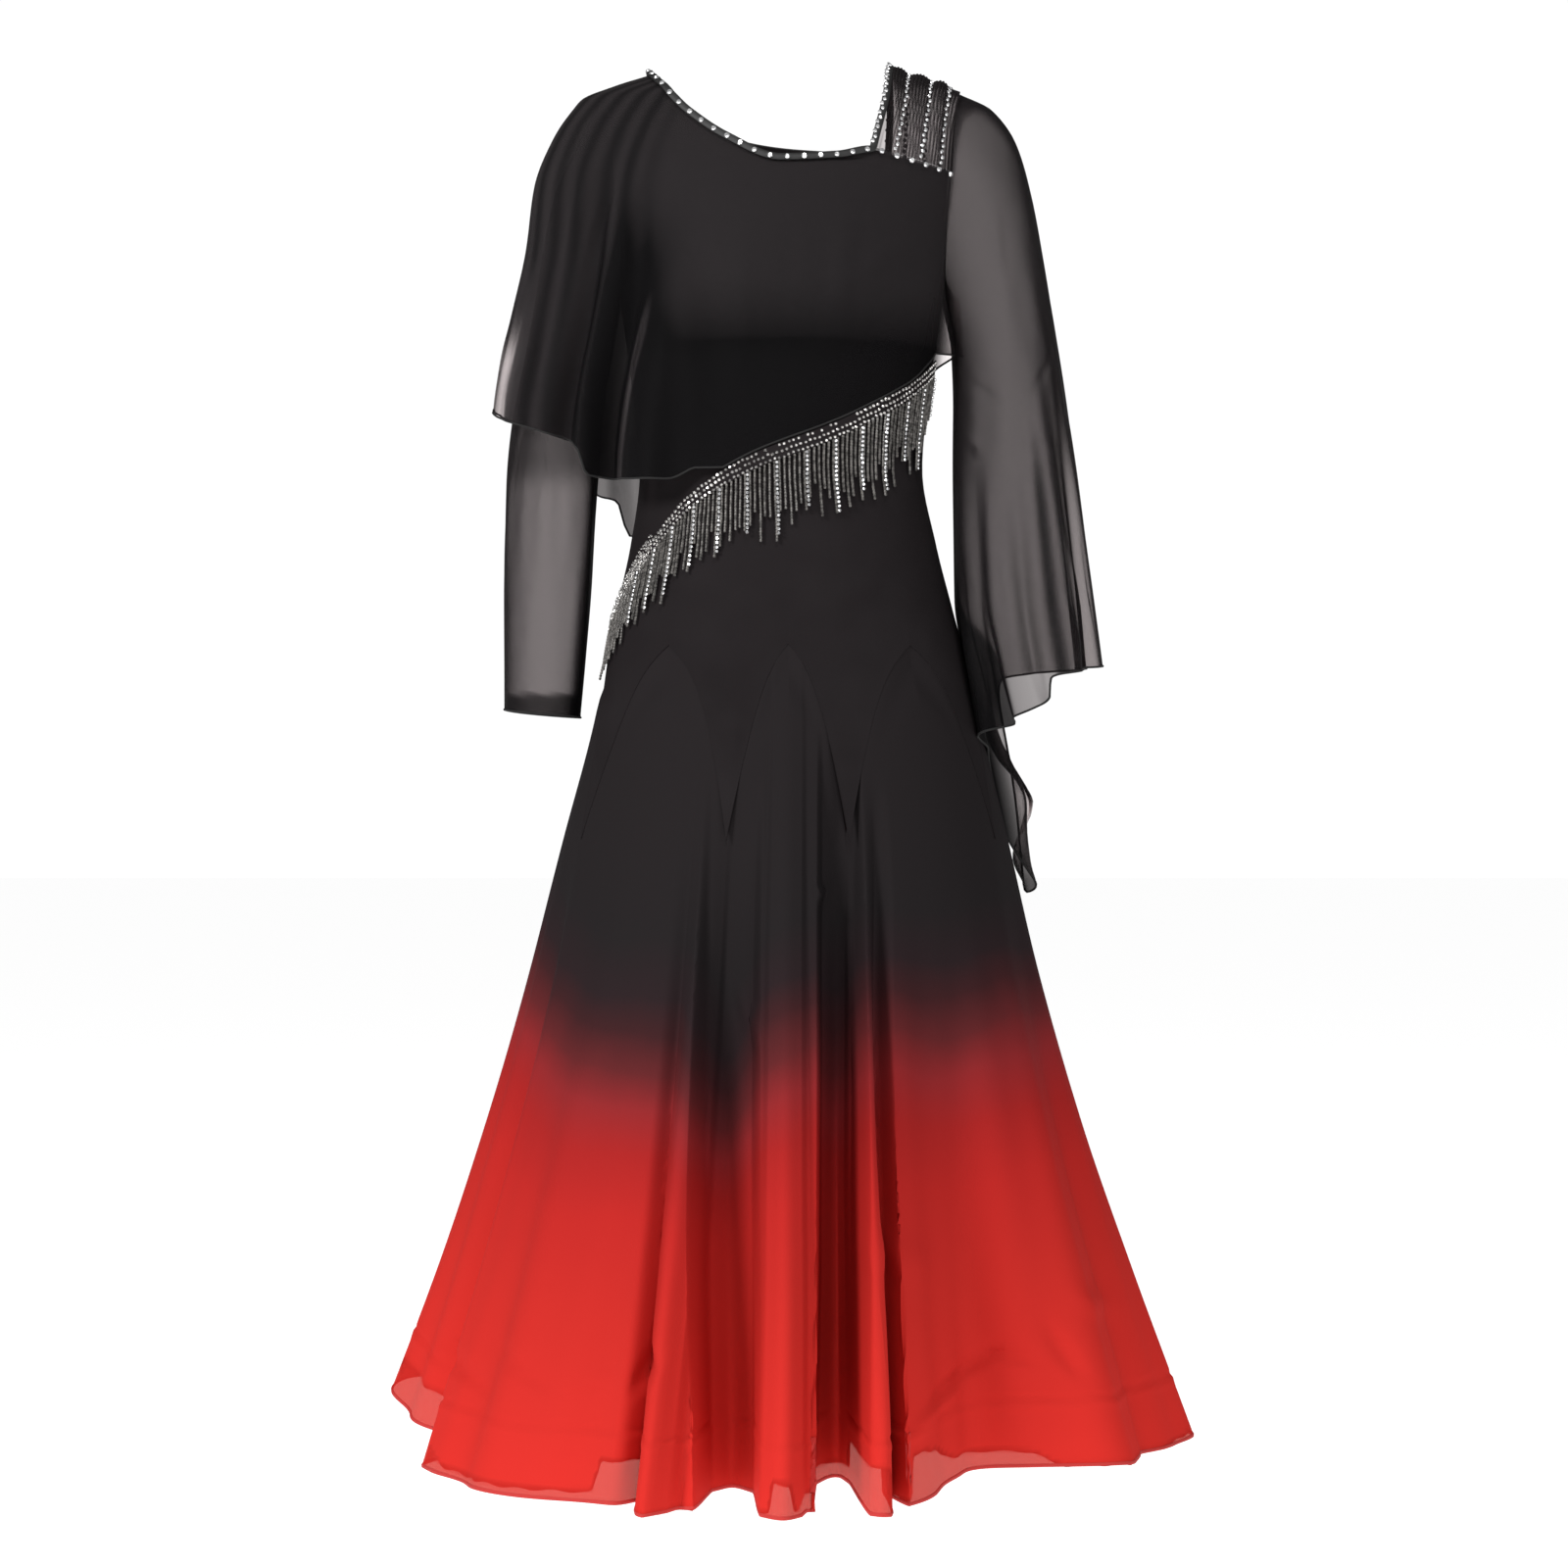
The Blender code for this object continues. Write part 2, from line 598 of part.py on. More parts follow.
def drape(name, behind, columns, rows):
    """The overlay's front or back, from its hem to the neck, over the arm on one side, to the armhole on the other."""
    edge = 100 * SEAM_GAP / 2 / DRAPE_HALF_ROUND
    ends = (200 - edge, 100 + edge) if behind else (edge, 100 - edge)

    def low_z(share):
        return drape_hem(ends[0] + (ends[1] - ends[0]) * share, behind)

    neck = BACK_NECK if behind else FRONT_NECK
    place, z = torso_pattern(drape_place, False, ends, neck, behind, low_z, columns, rows)
    return lay(name, drape_form, place, z, MESH, BLACK, steps=(0.8, 0.0006), sheer=True)


# ---- shoulder mesh and neckline binding ----------------------------------------------------------
MESH_NECK = table("z x", (0.003, 0.0900), (-0.020, 0.0870), (-0.050, 0.0800), (-0.061, 0.0770), (-0.077, 0.0730))
MESH_NECK_TOP = 0.003
BINDING_LIFT = 0.0026
GATHERS, GATHER_RISE = 3, 0.0035  # the mesh puffs out between its rows of stones


def mesh_form(share, over):
    """The shoulder mesh: share runs from the neck to the armhole, over from -1 in front to 1 behind."""
    behind = over > 0
    neck_front = smooth(MESH_FRONT_X, FRONT_NECK["x"], FRONT_NECK["z"])
    neck = np.where(behind, smooth(MESH_BACK_X, BACK_NECK["x"], BACK_NECK["z"]), neck_front)
    arm = np.where(behind, BACK_NECK["z"][-1], FRONT_NECK["z"][-1])
    neck_z = MESH_NECK_TOP + (neck - MESH_NECK_TOP) * over**2
    arm_z = ARMHOLE_TOP + (arm - ARMHOLE_TOP) * over**2
    neck_x = smooth(neck_z, MESH_NECK["z"], MESH_NECK["x"])
    neck_x = neck_x + np.where(behind, (MESH_BACK_X - MESH_FRONT_X) * over**2, 0)
    x, z = neck_x + (armhole_x(arm_z) - neck_x) * share, neck_z + (arm_z - neck_z) * share
    inward = 1 - 1e-6 * (1 - over**2)
    return body(body_angle(x * inward, z, behind), z, False)


def mesh_normals(share, over):
    """Outward normals of the body form where the shoulder mesh lies."""
    points = mesh_form(share, over)
    across = mesh_form(share + 0.02, over) - mesh_form(share - 0.02, over)
    along = mesh_form(share, over + 0.02) - mesh_form(share, over - 0.02)
    n = np.cross(across, along)
    n /= np.linalg.norm(n, axis=-1, keepdims=True)
    return points, n


def shoulder_mesh(columns, rows):
    """Gathered mesh over the wearer's left shoulder, from the front neckline's seam to the back's."""
    share = np.linspace(0.004, 0.992, columns + 1)[None, :]
    over = np.linspace(-0.996, 0.996, rows + 1)[:, None]
    share, over = np.broadcast_arrays(share, over)
    points, n = mesh_normals(share, over)
    beyond = np.clip((share - 0.13) / 0.87, 0, 1)
    rise = GATHER_RISE * np.abs(np.sin(math.pi * GATHERS * beyond)) * (1 - over**6)
    outer = points + (DRAPE_EASE + 0.0004 + rise)[..., None] * n
    return wall("shoulder_mesh", outer, outer - MESH * n, BLACK, sheer=True)


def neck_binding(columns):
    """A narrow band lying over the neckline's edge, all the way round the neck."""
    front_x, front_z = neck_points(FRONT_NECK, 200)
    back_x, back_z = neck_points(BACK_NECK, 200)
    front, back = front_x < MESH_FRONT_X, back_x < MESH_BACK_X
    over = np.linspace(-1, 1, 60)
    front_place, front_z = drape_place(front_x[front], front_z[front], False)
    back_place, back_z = drape_place(back_x[back], back_z[back], True)
    front_edge = drape_form(front_place, front_z)
    back_edge = drape_form(back_place, back_z)[::-1]
    mesh_edge, mesh_n = mesh_normals(np.zeros(60), over)
    line = np.concatenate([front_edge, mesh_edge + DRAPE_EASE * mesh_n, back_edge[:-1]])
    front_n = normals(drape_form, front_place, front_z, 0.8, 0.0006)
    back_n = normals(drape_form, back_place, back_z, 0.8, 0.0006)[::-1]
    out = np.concatenate([front_n, mesh_n, back_n[:-1]])
    run = np.concatenate([[0], np.cumsum(np.linalg.norm(np.diff(line, axis=0), axis=1))])
    run_all = run[-1] + np.linalg.norm(line[-1] - line[0])
    want = np.linspace(0, run_all, columns, endpoint=False)
    closed_run = np.concatenate([run, [run_all]])

    def along(values):
        values = np.concatenate([values, values[:1]])
        return np.stack([np.interp(want, closed_run, column) for column in values.T], -1)

    path, out = along(line), along(out)
    out = (np.roll(out, 1, 0) + out + np.roll(out, -1, 0)) / 3
    forward = np.roll(path, -1, 0) - np.roll(path, 1, 0)
    forward /= np.linalg.norm(forward, axis=1, keepdims=True)
    out -= (out * forward).sum(1, keepdims=True) * forward
    out /= np.linalg.norm(out, axis=1, keepdims=True)
    down = np.cross(forward, out)
    outer = np.stack([path + BINDING_LIFT * out + at * BINDING_WIDTH * down for at in (0.9, -0.1)])
    return wall("neck_binding", outer, outer - MESH * out, BLACK, closed=True)


# ---- sleeves -------------------------------------------------------------------------------------
SLEEVE_LEFT = table(
    "z outer inner front back",
    (-0.021, 0.152, 0.140, 0.004, 0.004),
    (-0.034, 0.179, 0.140, 0.018, 0.018),
    (-0.063, 0.200, 0.140, 0.034, 0.034),
    (-0.105, 0.2125, 0.140, 0.045, 0.045),
    (-0.155, 0.2225, 0.140, 0.052, 0.052),
    (-0.198, 0.2300, 0.1440, 0.056, 0.056),
    (-0.240, 0.2360, 0.1492, 0.059, 0.059),
    (-0.350, 0.2520, 0.1487, 0.066, 0.068),
    (-0.450, 0.2660, 0.1535, 0.074, 0.080),
    (-0.510, 0.2740, 0.1640, 0.078, 0.088),
    (-0.580, 0.2820, 0.1830, 0.082, 0.096),
    (-0.710, 0.2950, 0.2060, 0.086, 0.108),
)
SLEEVE_RIGHT = table(
    "z outer inner front back",
    (-0.021, 0.152, 0.140, 0.004, 0.004),
    (-0.034, 0.158, 0.140, 0.013, 0.013),
    (-0.063, 0.173, 0.140, 0.026, 0.026),
    (-0.105, 0.192, 0.140, 0.036, 0.036),
    (-0.155, 0.203, 0.140, 0.041, 0.041),
    (-0.198, 0.210, 0.1440, 0.042, 0.042),
    (-0.240, 0.217, 0.1480, 0.040, 0.040),
    (-0.300, 0.2285, 0.1550, 0.038, 0.038),
    (-0.355, 0.2330, 0.1588, 0.037, 0.037),
    (-0.450, 0.2355, 0.1645, 0.035, 0.035),
    (-0.550, 0.2355, 0.1735, 0.031, 0.031),
)
# Round a sleeve: 0 is its outer side, 90 behind, 180 against the body, 270 in front.
SLEEVE_LEFT_HEM = table(
    "turn z", (0, -0.508), (60, -0.513), (95, -0.535), (112, -0.610), (128, -0.700), (150, -0.660), (180, -0.600),
    (215, -0.570), (255, -0.553), (285, -0.535), (296, -0.516), (320, -0.511), (360, -0.508)
)
SLEEVE_RIGHT_HEM = table("turn z", (0, -0.545), (180, -0.552), (360, -0.545))
SLEEVE_LEFT_FOLDS = table(
    "turn depth half_width start_z",
    (318, -0.020, 16, -0.260),
    (296, 0.014, 12, -0.240),
    (274, -0.008, 14, -0.300),
    (226, -0.016, 15, -0.320),
    (204, 0.006, 12, -0.320),
    (150, -0.014, 14, -0.400),
    (112, 0.012, 14, -0.300),
    (84, -0.018, 15, -0.280),
    (50, 0.012, 14, -0.240),
    (22, -0.014, 14, -0.260),
)
SLEEVE_FOLD_Z, MOST_FOLD = -0.580, 1.3  # where a sleeve fold reaches its depth, and its most below that
CAP_EASE = 0.10  # how far below the armhole the sleeve has left the armhole's shape
SEAM_AT_TOP, LEFT_GAP, RIGHT_GAP = 0.0014, 0.0056, 0.0014  # from the armhole out to the sleeve: above, below


def sleeve_form(side, sizes, hems, folds, gap):
    """A sleeve as a form: turn goes round it, up runs from 0 at its hem to 1 at the armhole."""

    def ring(turn, z):
        outer, inner = smooth(z, sizes["z"], sizes["outer"]), smooth(z, sizes["z"], sizes["inner"])
        angle = np.radians(turn)
        deep = np.where(np.sin(angle) > 0, smooth(z, sizes["z"], sizes["back"]), smooth(z, sizes["z"], sizes["front"]))
        out = np.zeros_like(angle * z)
        for at, depth, wide, top in zip(*folds.values()):
            share = np.clip((top - z) / (top - SLEEVE_FOLD_Z), 0, MOST_FOLD)
            out = out + depth * share * bump(turned(turn - at) / wide)
        x = (outer + inner) / 2 + ((outer - inner) / 2 + out) * np.cos(angle)
        return np.stack([x, (deep + out) * np.sin(angle)], -1)

    def form(turn, up):
        angle = np.radians(turn)
        top_z = ARMHOLE_TOP + (UNDERARM - ARMHOLE_TOP) * (1 - np.cos(angle)) / 2
        hem = smooth(turn % 360, hems["turn"], hems["z"])
        z = hem + (top_z - hem) * up
        at_arm = body(body_angle(armhole_x(top_z) - 1e-9, top_z), top_z, False)
        arm_x = at_arm[..., 0] + SEAM_AT_TOP + (gap - SEAM_AT_TOP) * np.abs(np.sin(angle / 2)) ** 0.7
        arm_y = np.abs(at_arm[..., 1]) * np.sign(np.sin(angle))
        start = ring(turn, top_z)
        held = 1 - np.sin(math.pi / 2 * np.clip((top_z - z) / CAP_EASE, 0, 1))
        flat = ring(turn, z)
        x = flat[..., 0] + (arm_x - start[..., 0]) * held
        y = flat[..., 1] + (arm_y - start[..., 1]) * held
        return np.stack([side * x, y, z], -1)

    return form


def sleeve(name, side, sizes, hems, folds, gap, columns, rows):
    """A sleeve set just outside its armhole, open at both ends."""
    form = sleeve_form(side, sizes, hems, folds, gap)
    turn = np.linspace(0, 360, columns, endpoint=False)[None, :]
    up = 1 - np.linspace(1, 0, rows + 1)[:, None] ** 1.3
    turn, up = np.broadcast_arrays(turn, up)
    points, n = form(turn, up), side * normals(form, turn, np.clip(up, 0.002, 0.998), 0.5, 0.001)
    return wall(name, points + DRAPE_EASE / 2 * n, points + (DRAPE_EASE / 2 - MESH) * n, BLACK, sheer=True, closed=True)


# ---- the beaded band and its strands -------------------------------------------------------------
STRAND_LENGTHS = (0.030, 0.072, 0.056, 0.068, 0.058, 0.060, 0.050, 0.064, 0.048, 0.062, 0.056, 0.060, 0.052, 0.048)
BOLD, THIN = 0.0040, 0.0026  # widths of the two kinds of strand
BAND_START, BAND_STOP = 82, -86  # angles of the band's ends, from the wearer's left to right


def waist_fringe(rows):
    """One comb: the band lies over the slanting seam, and the strands hang from its lower edge over the yoke."""
    fine = np.linspace(BAND_START, BAND_STOP, 400)
    seam = body(fine, slant_z(fine), False)
    run = np.concatenate([[0], np.cumsum(np.linalg.norm(np.diff(seam, axis=0), axis=1))])
    count = int(run[-1] / STRAND_PITCH)
    middle = STRAND_PITCH * (np.arange(count) + 0.5)
    index = np.arange(count)
    width = np.where(index % 3 == 1, BOLD, THIN)
    bold = np.interp(index / 3, np.arange(len(STRAND_LENGTHS)), STRAND_LENGTHS)
    length = bold * np.array([0.9, 1.0, 1.06])[index % 3]
    edges = np.stack([middle - width / 2, middle + width / 2], -1).ravel()
    angle = np.interp(edges, run, fine)[::-1]
    drop = np.repeat(length, 2)[::-1]
    high = slant_z(angle) + BAND_WIDTH / 2
    low = slant_z(angle) - BAND_WIDTH / 2
    down = np.linspace(1, 0, rows + 1)[:, None]
    z = np.concatenate([low - drop * down, high[None]])
    keep = np.ones((rows + 1, len(angle) - 1), bool)
    keep[:rows, 1::2] = False
    angle = np.broadcast_to(angle, z.shape)
    return lay("waist_fringe", body, angle, z, 0.0014, SILVER, lift=0.0036, keep=keep)


def main():
    for old in list(bpy.data.objects):
        bpy.data.objects.remove(old)
    skirt(7)
    yoke("yoke_front", -90, 90, 6)
    yoke("yoke_back", 90, 270, 5)
    bodice("bodice_front", False, 12, 10)
    bodice("bodice_back", True, 12, 10)
    drape("drape_front", False, 24, 11)
    drape("drape_back", True, 18, 9)
    shoulder_mesh(12, 10)
    neck_binding(64)
    sleeve("sleeve_left", 1, SLEEVE_LEFT, SLEEVE_LEFT_HEM, SLEEVE_LEFT_FOLDS, LEFT_GAP, 34, 10)
    sleeve("sleeve_right", -1, SLEEVE_RIGHT, SLEEVE_RIGHT_HEM, {}, RIGHT_GAP, 18, 9)
    waist_fringe(2)


main()
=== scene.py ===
# %% [markdown]
# # A ballroom dance dress
# A standard ballroom dress hangs as if somebody wore it: a black crepe body, a cape of sheer chiffon over one arm,
# two unlike mesh sleeves, a slanting band of crystals with a bead fringe, and a skirt of eight flared panels that
# turns from black to red. The rigid solids come in as a fixed frame, and every piece of cloth below is laid on the
# same forms as its solid, with the finer folds, seams, hems and stones that a solid has no room for.

# %% Load the frame
import math

import bpy
import numpy as np
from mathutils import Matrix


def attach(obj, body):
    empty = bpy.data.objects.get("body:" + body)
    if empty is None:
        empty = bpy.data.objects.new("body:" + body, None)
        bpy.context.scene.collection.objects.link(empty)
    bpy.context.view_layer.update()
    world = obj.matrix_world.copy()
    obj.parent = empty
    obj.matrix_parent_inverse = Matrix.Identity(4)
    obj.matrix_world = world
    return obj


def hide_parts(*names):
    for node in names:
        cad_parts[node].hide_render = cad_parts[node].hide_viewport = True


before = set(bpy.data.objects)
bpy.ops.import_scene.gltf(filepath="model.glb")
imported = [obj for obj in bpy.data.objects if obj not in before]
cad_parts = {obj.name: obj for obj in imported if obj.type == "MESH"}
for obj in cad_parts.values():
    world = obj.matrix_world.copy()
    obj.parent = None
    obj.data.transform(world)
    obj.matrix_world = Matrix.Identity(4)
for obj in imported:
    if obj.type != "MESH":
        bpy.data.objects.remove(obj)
scene = bpy.context.scene
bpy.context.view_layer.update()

# %% [markdown]
# Cloth hangs in smooth curves, so each size below is a short table with a smooth curve through its rows. The curve is
# a monotone cubic, which never swings past its rows: a waist that is drawn as 0.121 m never turns out thinner.

# %% Tables and smooth curves
CLOTH, SHEER = 0.0009, 0.0006  # thickness of crepe and georgette, and of sheer cloth and braid
chance = np.random.default_rng(11)


def numbers(text):
    """Rows of numbers from text, in metres and degrees, with a semicolon between rows."""
    return np.array([row.split() for row in text.split(";")], float)


def table(names, text):
    """A short table as named columns."""
    return dict(zip(names.split(), numbers(text).T))


def read(known, column, at):
    """A table's column at places along its first column, on a monotone cubic: Hermite pieces whose slope at a row
    is the harmonic mean of the slopes on both sides."""
    x = next(iter(known.values()))
    order = np.argsort(x)
    x, y = x[order], known[column][order]
    step, rise = np.diff(x), np.diff(y)
    slope = rise / step
    both = slope[:-1] * slope[1:]
    inner = np.where(both > 0, 2 * both / np.where(both > 0, slope[:-1] + slope[1:], 1), 0)
    tangent = np.concatenate([[slope[0]], inner, [slope[-1]]])
    at = np.clip(at, x[0], x[-1])
    i = np.clip(np.searchsorted(x, at) - 1, 0, len(step) - 1)
    t = (at - x[i]) / step[i]
    h00, h10 = (1 + 2 * t) * (1 - t) ** 2, t * (1 - t) ** 2
    h01, h11 = t * t * (3 - 2 * t), t * t * (t - 1)
    return h00 * y[i] + h10 * step[i] * tangent[i] + h01 * y[i + 1] + h11 * step[i] * tangent[i + 1]


print("crepe:", CLOTH, "m thick, sheer cloth:", SHEER, "m")

# %% [markdown]
# Folds and creases are made of two small curves, a round hill and a soft step. A crease is a hill drawn along a line
# on the cloth. It fades out at both ends, as a drag line in real cloth does.

# %% Hills, steps and creases
def bump(s):
    """A round hill: half of one plus the cosine of pi s, 1 at s = 0 and 0 from s = -1 and 1 on."""
    return np.where(np.abs(s) < 1, (1 + np.cos(math.pi * np.clip(s, -1, 1))) / 2, 0)


def ease(s):
    """A soft step from 0 to 1: 3 s squared minus 2 s cubed."""
    s = np.clip(s, 0, 1)
    return s * s * (3 - 2 * s)


def below(z, level, depth):
    """A soft step down the height: 0 above a level, and 1 from that depth below it."""
    return ease((level - z) / depth)


def turned(angle):
    """An angle brought between -180 and 180 degrees."""
    return (angle + 180) % 360 - 180


def creases(rows, u, v):
    """Soft creases: each row is a line from (u0, v0) to (u1, v1), and the cloth moves by its depth times a round
    hill across the line times a round hill along it."""
    moved = np.zeros(np.broadcast(u, v).shape)
    for u0, v0, u1, v1, depth, half in rows:
        length = math.hypot(u1 - u0, v1 - v0)
        along = ((u - u0) * (u1 - u0) + (v - v0) * (v1 - v0)) / length**2
        beside = ((u - u0) * (v1 - v0) - (v - v0) * (u1 - u0)) / length
        moved = moved + depth * bump(beside / half) * bump(2 * along - 1)
    return moved


print("a hill at its top, half down and at its foot:", bump(np.array([0, 0.5, 1])).round(2).tolist())

# %% [markdown]
# The body form stands for a general figure, and below the hips for the flare of the skirt. Angles run round it in
# degrees: 0 in front, 90 on the wearer's left. Each row of FOLDS is one flute of the skirt. It starts at its own
# height, swings to its angle at the hem, and stands out or falls in by its depth. A crisp one has steep sides and a
# broad floor, like a box pleat that was never pressed.

# %% The body form and the skirt's flutes
BODY = table("z half_width front back shift", """
    .006 .08 .01 .01 0; -.004 .104 .022 .022 0; -.016 .14 .045 .045 0; -.028 .165 .06 .06 0;
    -.05 .166 .073 .075 0; -.09 .157 .09 .086 0; -.14 .146 .112 .092 0; -.195 .138 .124 .092 0;
    -.26 .129 .113 .085 0; -.34 .121 .098 .082 0; -.405 .131 .101 .096 .002; -.46 .144 .108 .11 .003;
    -.51 .155 .118 .122 .005; -.56 .166 .133 .135 .005; -.65 .187 .168 .162 .004; -.77 .213 .216 .204 .003;
    -.9 .246 .26 .25 .003; -1.03 .284 .304 .292 .004; -1.17 .329 .345 .335 .004
""")
FOLDS = table("start hem depth half_width start_z narrows crisp", """
    -19 -18.2 .04 4 -.6 .4 .3; -23.5 -21.6 -.03 2.7 -.62 .6 0; -14 -7.9 -.105 4.7 -.6 .8 .75;
    .5 -.4 .034 3.9 -.48 .4 .5; 14.8 7.8 -.15 3.8 -.56 .7 .75; 20 12.8 .03 2.6 -.62 .4 .5;
    24.5 15.2 -.066 2.1 -.6 .9 0; 36 38 -.09 26 -.7 0 0; 74 72 -.02 12 -.62 0 0; 93 93 .02 12 -.56 0 0;
    112 112 -.06 9 -.62 0 0; 128 128 .03 9 -.56 0 .3; 145 145 -.07 9 -.62 0 .5; 161 161 .025 8 -.56 0 .2;
    177 177 -.06 9 -.62 0 .4; -166 -166 .03 9 -.56 0 .2; -148 -148 -.065 9 -.62 0 .5;
    -131 -131 .025 8 -.56 0 .2; -114 -116 -.055 9 -.62 0 .3; -96 -98 .03 13 -.56 0 0;
    -72 -76 -.055 11 -.64 0 0; -40 -42 .014 16 -.56 0 0
""")
HEM_Z, YOKE_POINT_Z, ARCH_TOP_Z = -1.17, -0.655, -0.493


def body(angle, z, folded=True):
    """A point of the form: an oval at each height, x = half-width times sine and y = minus depth times cosine."""
    turn = np.radians(angle)
    half, shift = read(BODY, "half_width", z), read(BODY, "shift", z)
    deep = np.where(np.cos(turn) > 0, read(BODY, "front", z), read(BODY, "back", z))
    out = np.zeros_like(turn * z)
    if folded:
        for start, hem, depth, wide, top, narrows, crisp in zip(*FOLDS.values()):
            share = np.clip((top - z) / (top - HEM_Z), 0, 1.02)
            away = turned(angle - start - (hem - start) * share) / (wide * (1 + narrows * (1 - share)))
            steep = ease((1 - np.abs(away)) / 0.3)
            out = out + depth * share**1.15 * (bump(away) + crisp * (steep - bump(away)))
    x = shift + (half + out * ease(np.abs(np.sin(turn)) * 2)) * np.sin(turn)
    y = -(deep + out) * np.cos(turn)
    return np.stack([x, y, z + 0 * turn], -1)


def bare_body(angle, z):
    """The form without its flutes, for all that lies above the skirt."""
    return body(angle, z, False)


def body_angle(x, z, behind=False):
    """The angle on the form's front or back half where it has this x: the arc sine of x over the half-width."""
    half, shift = read(BODY, "half_width", z), read(BODY, "shift", z)
    angle = np.degrees(np.arcsin(np.clip((x - shift) / half, -1, 1)))
    return np.where(behind, 180 - angle, angle)


def run_along(path):
    """How far along a line of points each of them lies."""
    return np.concatenate([[0], np.cumsum(np.linalg.norm(np.diff(path, axis=0), axis=1))])


def unit(v):
    """Vectors brought to length 1."""
    return v / np.maximum(np.linalg.norm(v, axis=-1, keepdims=True), 1e-12)


def normals(form, a, b, step_a, step_b):
    """Outward normals of a form: the cross product of its change with one parameter and with the other."""
    along_a = form(a + step_a, b) - form(a - step_a, b)
    return unit(np.cross(along_a, form(a, b + step_b) - form(a, b - step_b)))


waist = bare_body(np.linspace(0, 360, 361), np.full(361, -0.34))
print("waist of the form:", round(float(run_along(waist)[-1]), 3), "m round, flutes:", len(FOLDS["hem"]))

# %% [markdown]
# A shell of cloth is two grids of points, its face and the same grid moved in by its thickness, joined by a rim.
# The mesh also carries a UV map in metres, so that a weave follows the cloth, and named marks such as how deep in
# the dye bath each point hung, lowered by painted shade in the skirt's folds. Its area is measured for the
# declaration of the sheet.

# %% From a grid of points to a shell of cloth
def grid_normals(points, closed):
    """Normals of a grid: the step to the next column crossed with the step to the next row."""
    across = np.roll(points, -1, 1) - np.roll(points, 1, 1) if closed else np.gradient(points, axis=1)
    return unit(np.cross(across, np.gradient(points, axis=0)))


def lifted(points, out, closed=False):
    """A grid's points moved out along its normals."""
    return points + out[..., None] * grid_normals(points, closed)


def mesh_object(name, points, faces, finish, shaded=True):
    """An object at the origin with this mesh and material."""
    mesh = bpy.data.meshes.new(name)
    mesh.from_pydata(points.reshape(-1, 3), [], faces)
    if shaded:
        mesh.shade_smooth()
        mesh.set_sharp_from_angle(angle=math.radians(50))
    mesh.materials.append(finish)
    made = bpy.data.objects.new(name, mesh)
    scene.collection.objects.link(made)
    return made


def quads(grid):
    """The four corners of each cell of a grid of numbers."""
    return np.stack([grid[:-1, :-1], grid[:-1, 1:], grid[1:, 1:], grid[1:, :-1]], -1).reshape(-1, 4)


def cloth(name, outer, finish, closed=False, out=None, thick=CLOTH, marks=None):
    """A shell between a grid and the same grid moved in along its normals. Rows run up and columns anticlockwise."""
    rows, columns = outer.shape[:2]
    out = grid_normals(outer, closed) if out is None else out
    wide = columns + 1 if closed else columns
    corner = np.arange(rows * wide).reshape(rows, wide)
    inside = rows * wide
    parts = [quads(corner), quads(corner)[:, ::-1] + inside]
    rims = [corner[0, ::-1], corner[-1]] + ([] if closed else [corner[:, 0], corner[::-1, -1]])
    for line in rims:
        parts.append(np.stack([line[:-1], line[1:], line[1:] + inside, line[:-1] + inside], -1))
    faces = np.concatenate(parts)
    side, place = np.divmod(faces, inside)
    number = side * rows * columns + (place // wide) * columns + (place % wide) % columns
    both = np.concatenate([outer.reshape(-1, 3), (outer - thick * out).reshape(-1, 3)])
    made = mesh_object(name, both, number.tolist(), finish)
    loop = np.concatenate([outer, outer[:, :1]], 1) if closed else outer
    run = np.pad(np.cumsum(np.linalg.norm(np.diff(loop, axis=1), axis=2), 1), ((0, 0), (1, 0)))
    climb = np.pad(np.cumsum(np.linalg.norm(np.diff(loop, axis=0), axis=2), 0), ((1, 0), (0, 0)))
    uv = np.stack([run - run[:, wide // 2, None], np.repeat(climb[:, wide // 2, None], wide, 1)], -1)
    layer = made.data.uv_layers.new(name="cloth")
    layer.data.foreach_set("uv", uv.reshape(-1, 2)[place.ravel()].ravel().astype(np.float32))
    for mark, values in (marks or {}).items():
        values = np.broadcast_to(values, (rows, columns)).ravel()
        attribute = made.data.attributes.new(mark, "FLOAT", "POINT")
        attribute.data.foreach_set("value", np.concatenate([values, values]).astype(np.float32))
    cell = np.cross(loop[1:, 1:] - loop[:-1, :-1], loop[1:, :-1] - loop[:-1, 1:])
    area = float(np.linalg.norm(cell, axis=2).sum() / 2)
    made["cut"] = [float(run[:, -1].max()), float(climb[-1].max()), area, float(run[-1, -1])]
    return made


print("cells of a grid of 2 by 3 points:", quads(np.arange(6).reshape(2, 3)).tolist())

# %% [markdown]
# A binding and a rolled hem are cords: a ring of points carried along a line and kept square to its direction. In a
# closed cord the last ring joins the first, and an open one has a cap at each end.

# %% A cord along a line
def square_to(v, axis):
    """The part of v at right angles to a unit axis, brought to length 1."""
    return unit(v - (v * axis).sum(-1, keepdims=True) * axis)


def heading(path, closed):
    """The direction in which a line of points runs at each of them."""
    return unit(np.roll(path, -1, 0) - np.roll(path, 1, 0) if closed else np.gradient(path, axis=0))


